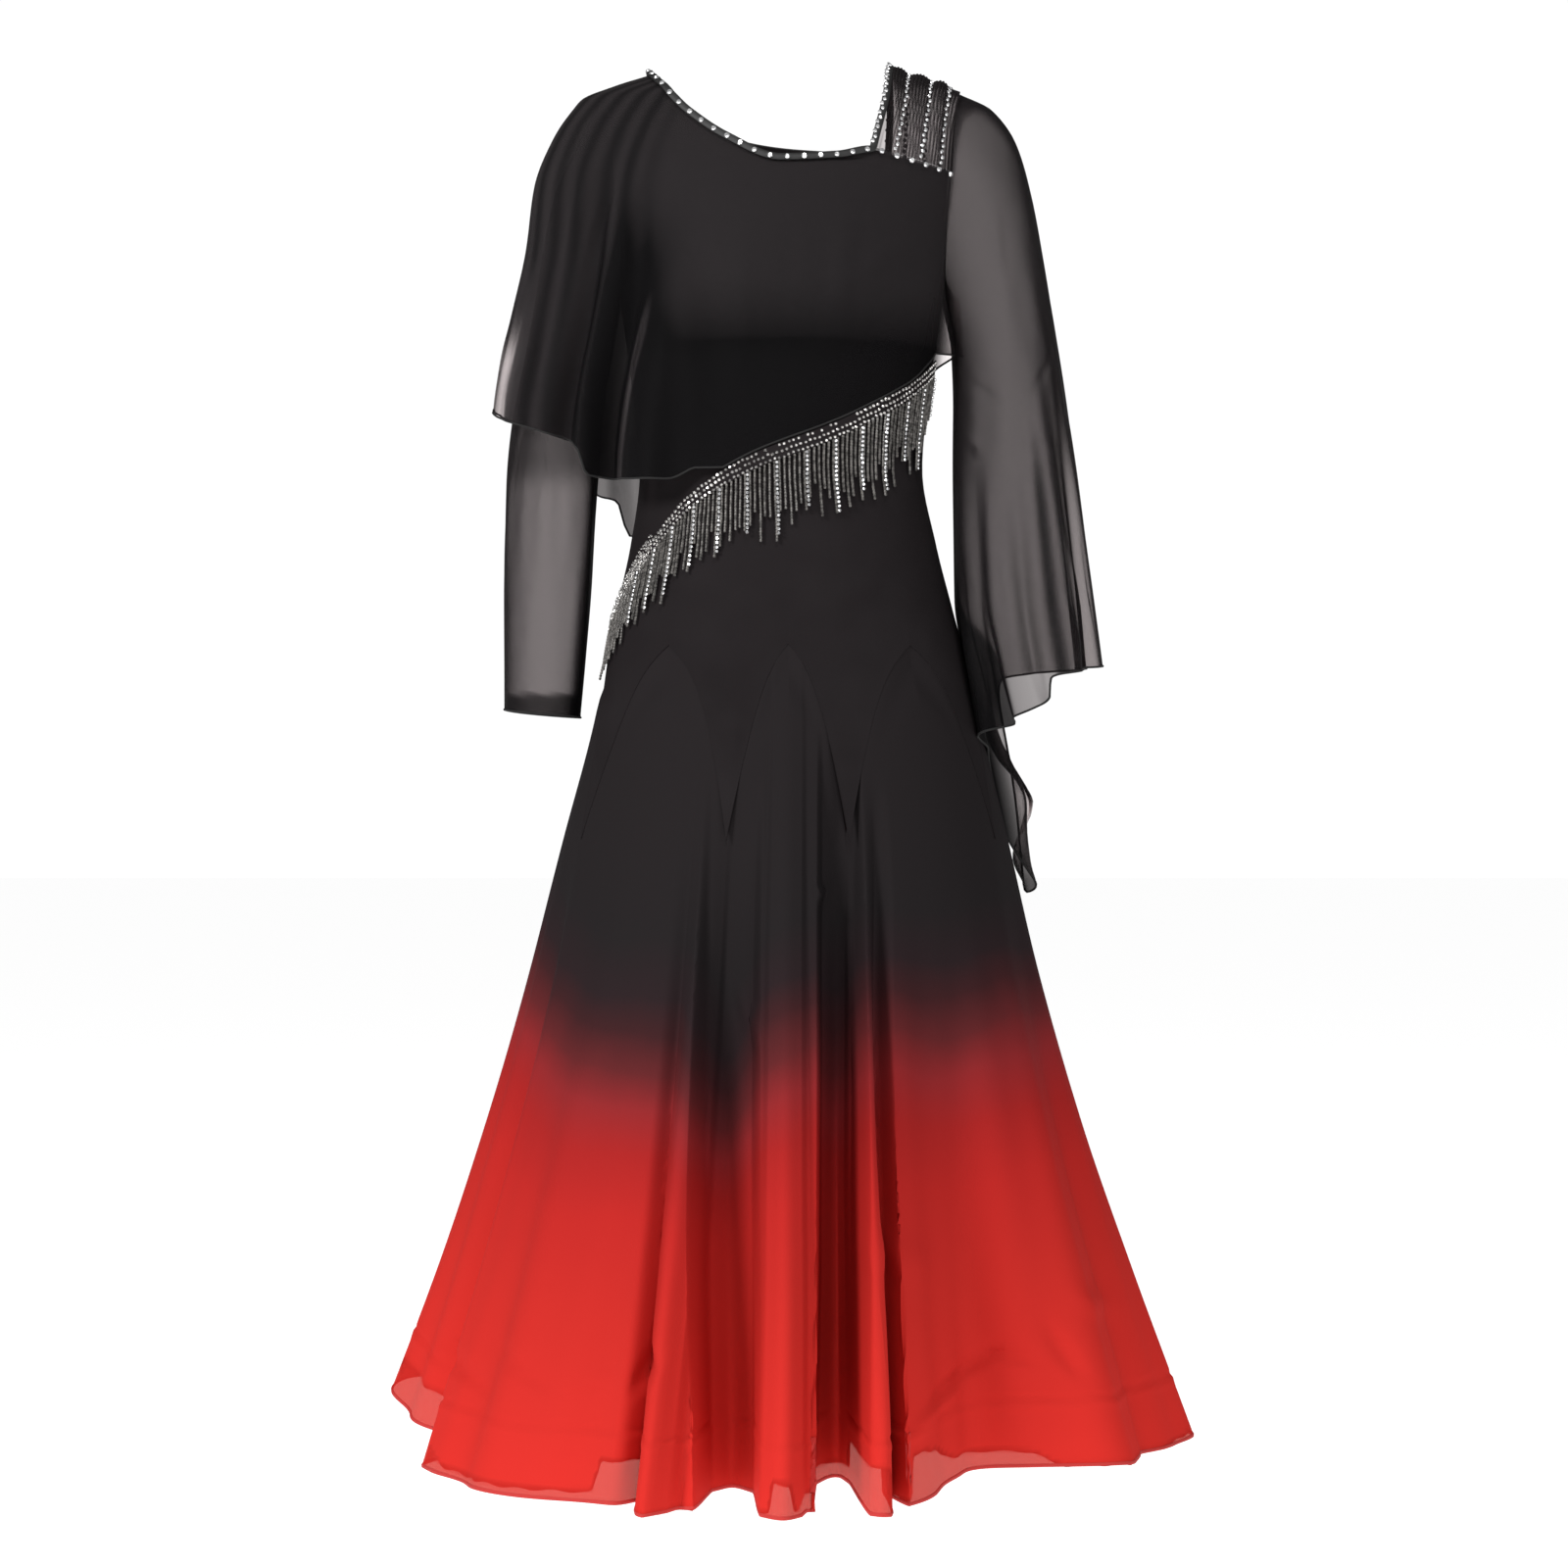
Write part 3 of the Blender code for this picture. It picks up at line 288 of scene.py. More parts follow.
def tube(name, path, out, radius, finish, closed=True, sides=6, flat=1.0):
    """A cord carried along a path: each ring is the path plus radius times cosine of the turn along out, and flat
    times sine of the turn sideways. An open cord has a cap at each end."""
    forward = heading(path, closed)
    out = square_to(out, forward)
    beside = np.cross(forward, out)
    turn = np.arange(sides) * 2 * math.pi / sides
    ring = np.cos(turn)[None, :, None] * out[:, None] + flat * np.sin(turn)[None, :, None] * beside[:, None]
    number = np.arange(len(path) * sides).reshape(len(path), sides)
    caps = [] if closed else [number[0, ::-1].tolist(), number[-1].tolist()]
    number = np.concatenate([number, number[:, :1]], 1)
    number = np.concatenate([number, number[:1]], 0) if closed else number
    return mesh_object(name, path[:, None] + radius * ring, quads(number).tolist() + caps, finish)


print("a line to the left runs", heading(np.array([[0.0, 0, 0], [1, 0, 0], [2, 0, 0]]), False)[0].tolist())

# %% [markdown]
# Every piece rides on the one body of the dress, and may stand for solids, which are then hidden. A sheet of
# cloth is declared too, with the size of its flat cut.

# %% What each piece is told
def dress(piece, slot, *nodes):
    """The piece moves with the dress and stands for those solids, which are hidden; slot is not used."""
    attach(piece, "root")
    if nodes:
        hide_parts(*nodes)
    return piece


def declare(piece, by_top=False):
    """States the flat cut of a sheet: its longest row, or its top one, its longest column and its area."""
    wide, long, area, top = piece["cut"]
    wide = top if by_top else wide
    print(f"{piece.name}: cut {wide:.3f} x {long:.3f} m, {area:.3f} m2")


# %% [markdown]
# Materials are small node trees. Colours are given as the sRGB hex values that a picture editor shows, and one
# function turns them to the linear light that Blender mixes. One more function adds a node with its settings and
# links, and another ends a recipe with its surface, which keeps each recipe below short.

# %% Colours and nodes
def linear(code):
    """sRGB hex to linear light: below 0.04 divide by 12.92, above it the power 2.4 of (c + 0.055) / 1.055."""
    c = np.array([int(code[i : i + 2], 16) / 255 for i in (0, 2, 4)])
    return (*np.where(c <= 0.04045, c / 12.92, ((c + 0.055) / 1.055) ** 2.4).tolist(), 1.0)


def add(tree, kind, inputs=(), output=0, stops=(), **settings):
    """Adds a shader node and gives back one of its outputs. inputs gives its sockets, by name or number, a value or
    another node's output, and stops are the places and hex colours of a colour ramp."""
    made = tree.nodes.new("ShaderNode" + kind)
    for key, value in settings.items():
        setattr(made, key, value)
    for key, value in dict(inputs).items():
        if isinstance(value, bpy.types.NodeSocket):
            tree.links.new(value, made.inputs[key])
        else:
            made.inputs[key].default_value = value
    if stops:
        band = made.color_ramp.elements
        while len(band) < len(stops):
            band.new(0.5)
        for element, (place, code) in zip(band, stops):
            element.position = place
            element.color = linear(code)
    return made.outputs[output] if made.outputs else None


def recipe(name):
    """An empty material, and its node tree."""
    made = bpy.data.materials.new(name)
    made.use_nodes = True
    made.node_tree.nodes.clear()
    return made, made.node_tree


def surface(tree, settings, open_share=None, tint="ffffff"):
    """Ends a recipe with a Principled surface, or with its mix with clear light of a tint, open_share of it clear."""
    shader = add(tree, "BsdfPrincipled", settings)
    if open_share is not None:
        clear = add(tree, "BsdfTransparent", {"Color": linear(tint)})
        shader = add(tree, "MixShader", {0: open_share, 1: shader, 2: clear})
    add(tree, "OutputMaterial", {"Surface": shader})


print("a hex colour in linear light:", [round(part, 4) for part in linear("c62c26")])

# %% [markdown]
# Stretch crepe is polyester with elastane, woven from hard-twisted yarn. The twist pulls the surface into tiny
# pebbles about a millimetre apart, so it drinks light: high roughness, a little sheen from loose fibre, and a fine
# noise as bump. Black dye still leaves it a very dark warm grey.

# %% Stretch crepe
def stretch_crepe():
    """Dark grey clouds for the dye, and pebbles as bump."""
    made, tree = recipe("stretch_crepe")
    where = add(tree, "TexCoord", output="Object")
    pebbles = add(tree, "TexNoise", {"Vector": where, "Scale": 900.0, "Detail": 2.0})
    clouds = add(tree, "TexNoise", {"Vector": where, "Scale": 14.0, "Detail": 2.0})
    surface(tree, {
        "Base Color": add(tree, "ValToRGB", {"Fac": clouds}, stops=[(0.3, "1d1a1b"), (0.7, "211e1f")]),
        "Normal": add(tree, "Bump", {"Height": pebbles, "Strength": 0.4, "Distance": 0.0004}),
        "Roughness": 0.82, "Specular IOR Level": 0.015,
        "Sheen Weight": 0.02, "Sheen Roughness": 0.5, "Sheen Tint": linear("4a4446"),
    })
    return made


CREPE = stretch_crepe()
print("crepe recipe:", len(CREPE.node_tree.nodes), "nodes")

# %% [markdown]
# The skirt is crepe georgette, dip-dyed: the black top stays out of the red bath, and the wicking edge between them
# runs over about 25 cm. The mark "dye" says how far down that edge each point lies; it is also lowered in the
# valleys of the flutes and beside the front's deep fold as painted shade, which darkens them. Georgette is thin
# enough to show daylight, so the mark "single" opens it where one layer hangs alone, below the band inside the hem.

# %% Dip-dyed georgette
def dipped_georgette():
    """The ramp's place is 0.67 times the mark "dye" with a soft noise of 0.05 either way, as the bath wicks up."""
    made, tree = recipe("dip_dyed_georgette")
    where = add(tree, "TexCoord", output="Object")
    dye = add(tree, "Attribute", output="Fac", attribute_name="dye")
    single = add(tree, "Attribute", output="Fac", attribute_name="single")
    wicked = add(tree, "TexNoise", {"Vector": where, "Scale": 9.0, "Detail": 3.0})
    wicked = add(tree, "Math", {0: wicked, 1: 0.1, 2: -0.05}, operation="MULTIPLY_ADD")
    depth = add(tree, "Math", {0: dye, 1: wicked}, operation="ADD")
    depth = add(tree, "Math", {0: depth, 1: 0.67}, operation="MULTIPLY")
    stops = [(0.0, "201d1e"), (0.1, "261d1f"), (0.16, "371d1f"), (0.23, "562123"), (0.3, "7e2426")]
    stops += [(0.39, "942120"), (0.5, "a62421"), (0.68, "b22823"), (1.0, "c62c26")]
    pebbles = add(tree, "TexNoise", {"Vector": where, "Scale": 1100.0, "Detail": 2.0})
    open_share = add(tree, "Math", {0: single, 1: 0.38}, operation="MULTIPLY")
    surface(tree, {
        "Base Color": add(tree, "ValToRGB", {"Fac": depth}, stops=stops),
        "Normal": add(tree, "Bump", {"Height": pebbles, "Strength": 0.3, "Distance": 0.0003}),
        "Roughness": 0.78, "Specular IOR Level": 0.015,
    }, open_share, "ffd5cf")
    return made


GEORGETTE = dipped_georgette()
print("georgette recipe:", len(GEORGETTE.node_tree.nodes), "nodes")

# %% [markdown]
# Chiffon and nylon mesh let light straight through between their threads. A layer lets through a fixed share, and a
# layer seen at a slant has more threads in the way, so the share is raised to one over the cosine of the slant.
# Each shell has two faces, so each face takes the square root. Layer Weight gives the slant. Folded cloth also looks
# blacker, since light that enters a stack of layers hardly comes back, so its colour sinks with the mark "doubled".
# On the drape that sink also carries painted shade, below the bust and in the deep fold beside the arm.

# %% Sheer cloth
def sheer(name, let_through, code, glow):
    """Black sheer cloth: transparency is let_through to the power of half the layers over the cosine of the view's
    slant, where the layers are one more than the mark "doubled"."""
    made, tree = recipe(name)
    facing = add(tree, "LayerWeight", {"Blend": 0.5}, "Facing")
    cosine = add(tree, "Math", {0: 1.0, 1: facing}, operation="SUBTRACT")
    cosine = add(tree, "Math", {0: cosine, 1: 0.12}, operation="MAXIMUM")
    doubled = add(tree, "Attribute", output="Fac", attribute_name="doubled")
    layers = add(tree, "Math", {0: doubled, 1: 1.0}, operation="ADD")
    half = add(tree, "Math", {0: layers, 1: 0.5}, operation="MULTIPLY")
    slanted = add(tree, "Math", {0: half, 1: cosine}, operation="DIVIDE")
    where = add(tree, "TexCoord", output="UV")
    threads = add(tree, "TexNoise", {"Vector": where, "Scale": 700.0, "Detail": 1.0})
    folded = add(tree, "Math", {0: doubled, 1: 0.5}, operation="MULTIPLY")
    surface(tree, {
        # The colour sinks towards 080708 as the mark grows: stacked layers, and on the drape painted shade as well.
        "Base Color": add(tree, "ValToRGB", {"Fac": folded}, stops=[(0.3, code), (0.8, "080708")]),
        "Normal": add(tree, "Bump", {"Height": threads, "Strength": 0.08, "Distance": 0.0003}),
        "Roughness": 0.75, "Specular IOR Level": 0.06,
        "Sheen Weight": glow, "Sheen Roughness": 0.4, "Sheen Tint": linear("6a6365"),
    }, add(tree, "Math", {0: let_through, 1: slanted}, operation="POWER"), "fffcfc")
    return made


CHIFFON = sheer("black_chiffon", 0.37, "272425", 0.0)
BELL_MESH = sheer("soft_nylon_mesh", 0.33, "1b1819", 0.02)
STRETCH_MESH = sheer("stretch_nylon_mesh", 0.42, "1b1819", 0.02)
print("sheer cloths:", [finish.name for finish in (CHIFFON, BELL_MESH, STRETCH_MESH)])

# %% [markdown]
# Satin binding has long smooth floats of thread, so it is less rough than crepe. A rolled hem is matt and near black.
# Foiled crystal is cut glass on a mirror: in small stones the eye sees hard white and grey facets. Silver-lined
# glass beads are greyer, because each is a tube with a mirror inside. Both are metals to the renderer.

# %% Binding, braid, crystal and beads
def plain(name, code, rough, grain=0.0, grain_mm=1.0, glow=0.0):
    """One Principled surface, with a fine noise as bump where the real one has a grain."""
    made, tree = recipe(name)
    settings = {"Base Color": linear(code), "Roughness": rough}
    if grain:
        where = add(tree, "TexCoord", output="Object")
        fine = add(tree, "TexNoise", {"Vector": where, "Scale": 1000 / grain_mm})
        settings["Normal"] = add(tree, "Bump", {"Height": fine, "Strength": grain, "Distance": 0.0003})
    if glow:
        settings |= {"Emission Color": linear("ffffff"), "Emission Strength": glow}
    surface(tree, settings)
    return made


def shimmer(name, dark, light, rough, coat=0.6):
    """Mirror-backed glass whose stones differ a little: a coarse noise picks each one's grey."""
    made, tree = recipe(name)
    where = add(tree, "TexCoord", output="Object")
    pick = add(tree, "TexNoise", {"Vector": where, "Scale": 330.0, "Detail": 0.0})
    surface(tree, {
        "Base Color": add(tree, "ValToRGB", {"Fac": pick}, stops=[(0.35, dark), (0.65, light)]),
        "Metallic": 0.85, "Roughness": rough, "Coat Weight": coat, "Coat Roughness": 0.05,
    })
    return made


SATIN = plain("satin_binding", "0e0d0d", 0.6, grain=0.2, grain_mm=0.8)
DARK_ROLL = plain("rolled_edge", "0c0b0b", 0.9)
RED_ROLL = plain("bound_red_edge", "b42723", 0.8, grain=0.3, grain_mm=0.9)
BRAID_RED = plain("braid_under_georgette", "bd2a25", 0.75, grain=0.4, grain_mm=1.4)
CRYSTAL = shimmer("foiled_crystal", "d8d8da", "ffffff", 0.16)
SMALL_CRYSTAL = shimmer("small_foiled_crystal", "8f8d8b", "cfccc9", 0.22)
BEADS = shimmer("silver_lined_beads", "474543", "716e6b", 0.55, 0.15)
print("materials:", len(bpy.data.materials))

# %% [markdown]
# The skirt has eight panels. Each one is cut as a flare with a pointed arch on top, and the arches fit into the hip
# yoke like church windows. The panel is laid on the body form between its two seams. Below the yoke's edge it tucks
# under, and a line of stitches 55 mm above the hem holds the braid inside. BRAID_RISE says how far above the hem the
# braid's own lower edge hangs.

# %% The skirt's seams, arches and hem
PANELS = ("front", "left_front", "left_side", "left_back", "back", "right_back", "right_side", "right_front")
SEAM_AT_POINT = (-15, 16, 70, 110, 160, 200, 246, 294, 345)
SEAM_AT_HEM = (-17, 14, 68, 112, 160, 200, 245, 290, 343)
BRAID_WIDTH = 0.055
DYE_LINE_Z, DYE_RUN = -0.728, 0.3
PANEL_COLUMNS = {"front": 170, "left_front": 140, "right_front": 120}
BRAID_RISE = table("angle z", """
    -180 .012; -150 .02; -120 .01; -102 .003; -94 .03; -75 .03; -62 .012; -57 .006; -29 .008; -28 .009;
    -27 .032; -22.2 .032; -21.2 .0005; -6 .0005; -2.4 .003; -1.7 .026; .6 .024; 1.6 .004; 3.2 .014; 10 .012;
    10.8 .034; 13.4 .034; 15 .002; 18 .004; 20 .036; 27 .03; 33 .016; 48 .012; 52 .0005; 75 .0005; 100 .01;
    120 .022; 150 .01; 180 .012
""")


def seam_angle(k, z):
    """Angle of seam k: it swings from the yoke's point to its place at the hem."""
    share = np.clip((YOKE_POINT_Z - z) / (YOKE_POINT_Z - HEM_Z), 0, 1.02)
    return SEAM_AT_POINT[k] + (SEAM_AT_HEM[k] - SEAM_AT_POINT[k]) * share


def arch_z(share):
    """The pointed arch: down from its top by 0.3 of the way times the distance from the middle, and 0.7 its cube."""
    side = np.abs(1 - 2 * share)
    return YOKE_POINT_Z + (ARCH_TOP_Z - YOKE_POINT_Z) * (1 - 0.3 * side - 0.7 * side**3)


def hem_z(angle):
    """The hem, a little higher behind the wearer's right and at the front left."""
    return HEM_Z + 0.04 * bump(turned(angle + 104) / 38) + 0.008 * bump(turned(angle - 50) / 36)


def panel_shares(k, count, z):
    """Shares of a panel's width at one height, closer together where the cloth runs in and out: equal steps of
    length and width."""
    fine = np.linspace(0, 1, 801)
    angle = seam_angle(k, z) * (1 - fine) + seam_angle(k + 1, z) * fine
    length = np.linalg.norm(np.diff(body(angle, np.full_like(angle, z)), axis=0), axis=1)
    weight = length + 1.2 * length.mean()
    run = np.concatenate([[0], np.cumsum(weight)])
    return np.interp(np.linspace(0, run[-1], count + 1), run, fine)


print("arches are", round(ARCH_TOP_Z - YOKE_POINT_Z, 3), "m high")

# %% [markdown]
# Real flutes are never quite even. HEM_CREASES are short puckers near the hem where the stiff braid fights the soft
# cloth, and the ripple adds a few shallow waves a hand wide that fade out towards the hips.

# %% Small folds of the skirt
HEM_CREASES = numbers("""
    .105 -1.105 .19 -1.06 -.0055 .01; .15 -1.062 .215 -1.078 -.0045 .009; .09 -1.128 .15 -1.09 .0035 .01;
    .205 -1.04 .255 -1.1 -.004 .012; .225 -1.02 .3 -1.06 .003 .012; .06 -.96 .13 -1.01 .003 .022;
    -.3 -1.075 -.225 -1.1 -.004 .01; -.25 -1.055 -.17 -1.092 -.0035 .01; -.18 -1.085 -.12 -1.075 .003 .008;
    -.13 -1.1 -.085 -1.04 -.004 .01; .02 -.705 .045 -.69 .0035 .006; -.04 -.76 -.01 -.83 .003 .01
""")


def small_folds(angle, z, x, behind):
    """Shallow waves round the skirt, deeper towards the hem, and the puckers near it, mirrored behind."""
    low = below(z, -0.62, 0.5)
    turn = np.radians(angle)
    waves = 0.0022 * np.sin(19 * turn + 3 * z + 0.6) + 0.0016 * np.sin(31 * turn - 5 * z + 2.1)
    return low * waves + creases(HEM_CREASES, np.where(behind, -x, x), z)


def skirt_form(angle, z):
    """The folded form with its small folds, which panels, braid and hem edge all share."""
    flat = body(angle, z)
    moved = small_folds(angle, z, flat[..., 0], flat[..., 1] > 0)
    return flat + moved[..., None] * normals(body, angle, z, 0.1, 0.002)


print("puckers near the hem:", len(HEM_CREASES))

# %% [markdown]
# Each panel is a grid on that folded form. Its columns stand closer where the cloth turns fast, its rows climb from
# the hem to the arch, and each point carries its marks for the dye, which holds painted shade in the folds' valleys,
# and for the single layer.

# %% The eight panels
def dye_depth_and_shade(angle, z, flat):
    """How far down the wicking edge a point hung: by its height, with a waver round the skirt, deeper at the sides
    and behind. It is lowered as painted shade in the valleys of the folds and in a band just to the wearer's right
    of the front middle, which darkens them."""
    turn = np.radians(angle)
    open_form = np.linalg.norm(bare_body(angle, z)[..., :2], axis=-1)
    valley = np.maximum(open_form - np.linalg.norm(flat[..., :2], axis=-1), 0)
    depth = (DYE_LINE_Z - z) / DYE_RUN
    depth = depth + 0.03 * np.sin(3 * turn + 1.0) + 0.02 * np.sin(7 * turn) + 0.06 * (1 - np.cos(turn))
    depth = depth + 0.05 * np.sin(turn) + 0.12 * ease((-turned(angle) - 38) / 25)
    depth = depth + 0.03 * ease((turned(angle) - 14) / 8)
    # Painted shade: a darker band beside the front's deep fold, and darker valleys, both fading out towards the hem.
    depth = depth - 0.11 * bump(turned(angle + 12.5) / 11) * ease((z + 1.05) / 0.2)
    return depth - 0.16 * ease(valley / 0.1) * ease((z + 1.08) / 0.24)


def skirt_panel(k, name, columns, rows=96):
    """Panel k: angle runs between its seams, height from the hem to the arch, with a tuck beneath the yoke."""
    climb = np.concatenate([np.linspace(0, 0.13, 24)[:-1], np.linspace(0.13, 1, rows - 23)])[:, None]
    share = np.stack([panel_shares(k, columns, HEM_Z + (ARCH_TOP_Z - HEM_Z) * part) for part in climb[:, 0]])
    middle = seam_angle(k, HEM_Z) * (1 - share[0]) + seam_angle(k + 1, HEM_Z) * share[0]
    low, top = hem_z(middle), arch_z(share[-1]) + 0.005
    z = low + (top - low) * climb
    angle = seam_angle(k, z) * (1 - share) + seam_angle(k + 1, z) * share
    flat = skirt_form(angle, z)
    above_hem = z - low
    stitches = above_hem - BRAID_WIDTH
    moved = 0.0007 * bump((stitches + 0.006) / 0.005) - 0.0013 * bump(stitches / 0.003)
    moved -= 0.0005 * ease((z - top + 0.01) / 0.008)
    moved -= 0.003 * bump((share - 0.5) / 0.34) * bump((z - top + 0.026) / 0.026)
    single = ease((read(BRAID_RISE, "z", turned(middle)) + 0.004 - above_hem) / 0.004)
    marks = {"dye": dye_depth_and_shade(angle, z, flat), "single": single}
    piece = cloth(f"skirt_{name}_cloth", lifted(flat, moved), GEORGETTE, marks=marks)
    return dress(piece, "ombre_crepe", f"skirt_{name}")


skirt = [skirt_panel(k, name, PANEL_COLUMNS.get(name, 72)) for k, name in enumerate(PANELS)]
print("skirt panels:", len(skirt), "triangles:", sum(2 * len(p.data.polygons) for p in skirt))

# %% [markdown]
# Inside the hem runs a stiff nylon braid under a second layer of georgette, the trick that makes a dance skirt swing.
# Its lower edge is uneven: where it hangs short, one layer of red cloth shows pale against the light. The hem itself
# is bound with a narrow rolled edge, a slightly flattened cord carried along the hem line.

# %% The braid inside the hem and the bound edge
def hem_line(count):
    """Angles round the hem at even steps of its length."""
    fine = np.linspace(-180, 180, 6001)[:-1]
    run = run_along(body(fine, hem_z(fine)))
    return np.interp(np.linspace(0, run[-1], count, endpoint=False), run, fine)


HEM_POINTS = 1500
around = hem_line(HEM_POINTS)
rise = read(BRAID_RISE, "z", around) + 0.0008 * np.sin(np.arange(HEM_POINTS) * 0.42)
climb = np.linspace(0, 1, 6)[:, None]
height = hem_z(around) + rise + (BRAID_WIDTH - rise) * climb
strip = skirt_form(np.broadcast_to(around, height.shape), height)
strip_out = grid_normals(strip, True)
braid = cloth("hem_braid_band", strip - 0.0018 * strip_out, BRAID_RED, closed=True, out=strip_out, thick=SHEER)
dress(braid, "crin_braid", "hem_braid")

edge_z = hem_z(around) + 0.0016
edge, edge_out = skirt_form(around, edge_z), normals(body, around, edge_z, 0.2, 0.0005)
hem_roll = tube("hem_bound_edge", edge - 0.0004 * edge_out, edge_out, 0.0011, RED_ROLL, flat=1.3)
dress(hem_roll, "ombre_crepe")
print("hem is", round(float(run_along(edge)[-1]), 3), "m round")

# %% [markdown]
# The yoke is the black hip piece. Its upper edge is the slanting waist seam and its lower edge is the row of arches,
# so its pattern is a strip on the body form between those two lines. Its turned edge laps over the skirt, which puts
# the thin soft shadow round each arch.

# %% Hip yokes
SLANT = table("angle z", """
    -180 -.392; -130 -.44; -90 -.474; -60 -.42; -39 -.376; -15 -.345; 20 -.315; 50 -.285; 90 -.252; 130 -.31;
    180 -.392
""")
YOKE_CREASES = numbers("""
    -.12 -.48 -.02 -.56 .0016 .016; -.105 -.53 .01 -.59 -.0012 .014; .12 -.38 .02 -.5 .0014 .018;
    .135 -.45 .06 -.56 -.0012 .014; -.02 -.43 .03 -.54 .001 .016
""")


def slant_z(angle):
    """Height of the slanting waist seam, high on the wearer's left and low on the right hip."""
    return read(SLANT, "z", turned(angle))


def arch_under(angle):
    """Height of the arches' edge at an angle: the arch of whichever panel lies below it."""
    edges = np.array(SEAM_AT_POINT, float)
    angle = (angle - edges[0]) % 360 + edges[0]
    k = np.searchsorted(edges, angle, "right") - 1
    return arch_z((angle - edges[k]) / (edges[k + 1] - edges[k]))


def yoke(name, start, stop, rows=26):
    """The strip between the arches and the slanting seam, half round the body."""
    angle = np.linspace(start, stop, 2 * (stop - start) + 1)
    low, high = arch_under(angle), slant_z(angle)
    z = low + (high - low) * np.linspace(0, 1, rows + 1)[:, None] ** 1.3
    flat = bare_body(np.broadcast_to(angle, z.shape), z)
    x = np.where(flat[..., 1] > 0, -flat[..., 0], flat[..., 0])
    moved = creases(YOKE_CREASES, x, z) * ease((z - low) / 0.03) + 0.0002 * bump((z - low) / 0.006)
    piece = cloth(f"{name}_cloth", lifted(flat, moved), CREPE)
    return dress(piece, "stretch_crepe", name)


yokes = [yoke("yoke_front", -90, 90), yoke("yoke_back", 90, 270)]
print("yoke points:", [len(p.data.vertices) for p in yokes])

# %% [markdown]
# A pattern for the upper body runs from a low line up to the neckline, and is cut away where an armhole bites into
# its side. Front and back are cut alike, each with its own neckline, so one function makes all four pieces: two
# halves of the bodice, and two halves of the chiffon drape, which has only the wearer's left armhole.

# %% The upper body's pattern
ARMHOLE_TOP, UNDERARM = -0.021, -0.198
ARMHOLE = table("z x", """
    -.021 .152; -.035 .1475; -.06 .144; -.09 .142; -.135 .138; -.17 .1365; -.198 .138
""")
FRONT_NECK = table("x z", """
    -.104 -.004; -.1 -.012; -.09 -.025; -.074 -.043; -.042 -.067; 0 -.086; .045 -.083; .073 -.077; .1 -.0825;
    .142 -.091
""")
BACK_NECK = table("x z", """
    -.104 -.004; -.098 -.014; -.088 -.023; -.056 -.042; 0 -.053; .05 -.057; .085 -.061; .143 -.076
""")
MESH_FRONT_X, MESH_BACK_X = 0.073, 0.085  # where the shoulder mesh starts on each neckline
ARM_END_X = 0.139  # where the row of stones ends under the mesh


def armhole_x(z):
    """How far out the armhole's edge lies, never past the body form's own side."""
    return np.minimum(read(ARMHOLE, "x", z), read(BODY, "half_width", z))


def neck_points(neck, count=120):
    """The neckline's points as x and z, from the wearer's right to left, close together at its right end."""
    x = neck["x"][0] + np.ptp(neck["x"]) * np.linspace(0, 1, count) ** 1.6
    return x, read(neck, "z", x)


def torso_pattern(place_at, two_armed, ends, behind, low_z, columns, rows):
    """Places and heights of a half's grid. Columns hold their share of the way between the two side edges, and
    rows climb from the low line to the neck."""
    right_side, left_side = ends

    def side_edges(z):
        """Where the half's two side edges lie: at their own places, or at the armhole beside it."""
        left, right = place_at(armhole_x(z), z, behind)[0], place_at(-armhole_x(z), z, behind)[0]
        free = (z < UNDERARM) | (z > ARMHOLE_TOP)
        return np.where(free | (not two_armed), right_side, right), np.where(free, left_side, left)

    at_neck, neck_z = place_at(*neck_points(BACK_NECK if behind else FRONT_NECK), behind)
    right, left = side_edges(neck_z)
    known = (at_neck - right) / (left - right)
    known[0], known[-1] = 0, 1
    order = np.argsort(known)
    share = np.linspace(0, 1, columns + 1)
    high = np.interp(share, known[order], neck_z[order])
    low = low_z(right_side + (left_side - right_side) * share)
    z = low + (high - low) * (1 - (1 - np.linspace(0, 1, rows + 1)[:, None]) ** 1.45)
    right, left = side_edges(z)
    place = right + (left - right) * share
    return (place[:, ::-1], z[:, ::-1]) if behind else (place, z)


print("armhole is", round(ARMHOLE_TOP - UNDERARM, 3), "m high")

# %% [markdown]
# The bodice is the same stretch crepe, cut close. It is seen below the drape, down the sides and through the chiffon,
# so it needs only a few drag lines from the waist seam. They are drawn as creases, mirrored on the back.

# %% Bodice front and back
BODICE_CREASES = numbers("""
    -.125 -.43 -.05 -.37 .0015 .012; -.128 -.39 -.07 -.345 -.0012 .01; -.126 -.33 -.08 -.29 .0012 .01;
    .126 -.26 .06 -.29 .0012 .01; .13 -.215 .05 -.2 -.001 .01
""")
UNDER_DRAPE = 0.0006  # a crease rises no further, so that it stays below the drape


def bodice(name, behind, columns=90, rows=80):
    """Half of the bodice, from the slanting seam to the neck, shoulder and armholes."""
    ends = (269.8, 90.2) if behind else (-89.8, 89.8)
    angle, z = torso_pattern(body_angle_at, True, ends, behind, slant_z, columns, rows)
    flat = bare_body(angle, z)
    x = -flat[..., 0] if behind else flat[..., 0]
    moved = np.minimum(creases(BODICE_CREASES, x, z), UNDER_DRAPE)
    piece = cloth(f"{name}_cloth", lifted(flat, moved), CREPE)
    return dress(piece, "stretch_crepe", name)


def body_angle_at(x, z, behind):
    """The bodice lies on the body form itself, so its place is the angle and its height stays."""
    return body_angle(x, z, behind), z


bodices = [bodice("bodice_front", False), bodice("bodice_back", True)]
print("bodice points:", [len(p.data.vertices) for p in bodices])

# %% [markdown]
# The drape is a loop of chiffon round the torso and over the wearer's right arm. In plan it is like a band pulled
# round two posts: the support function of the torso's oval and of the arm's circle, whichever reaches further. The
# slope of that function gives the point where the band touches.

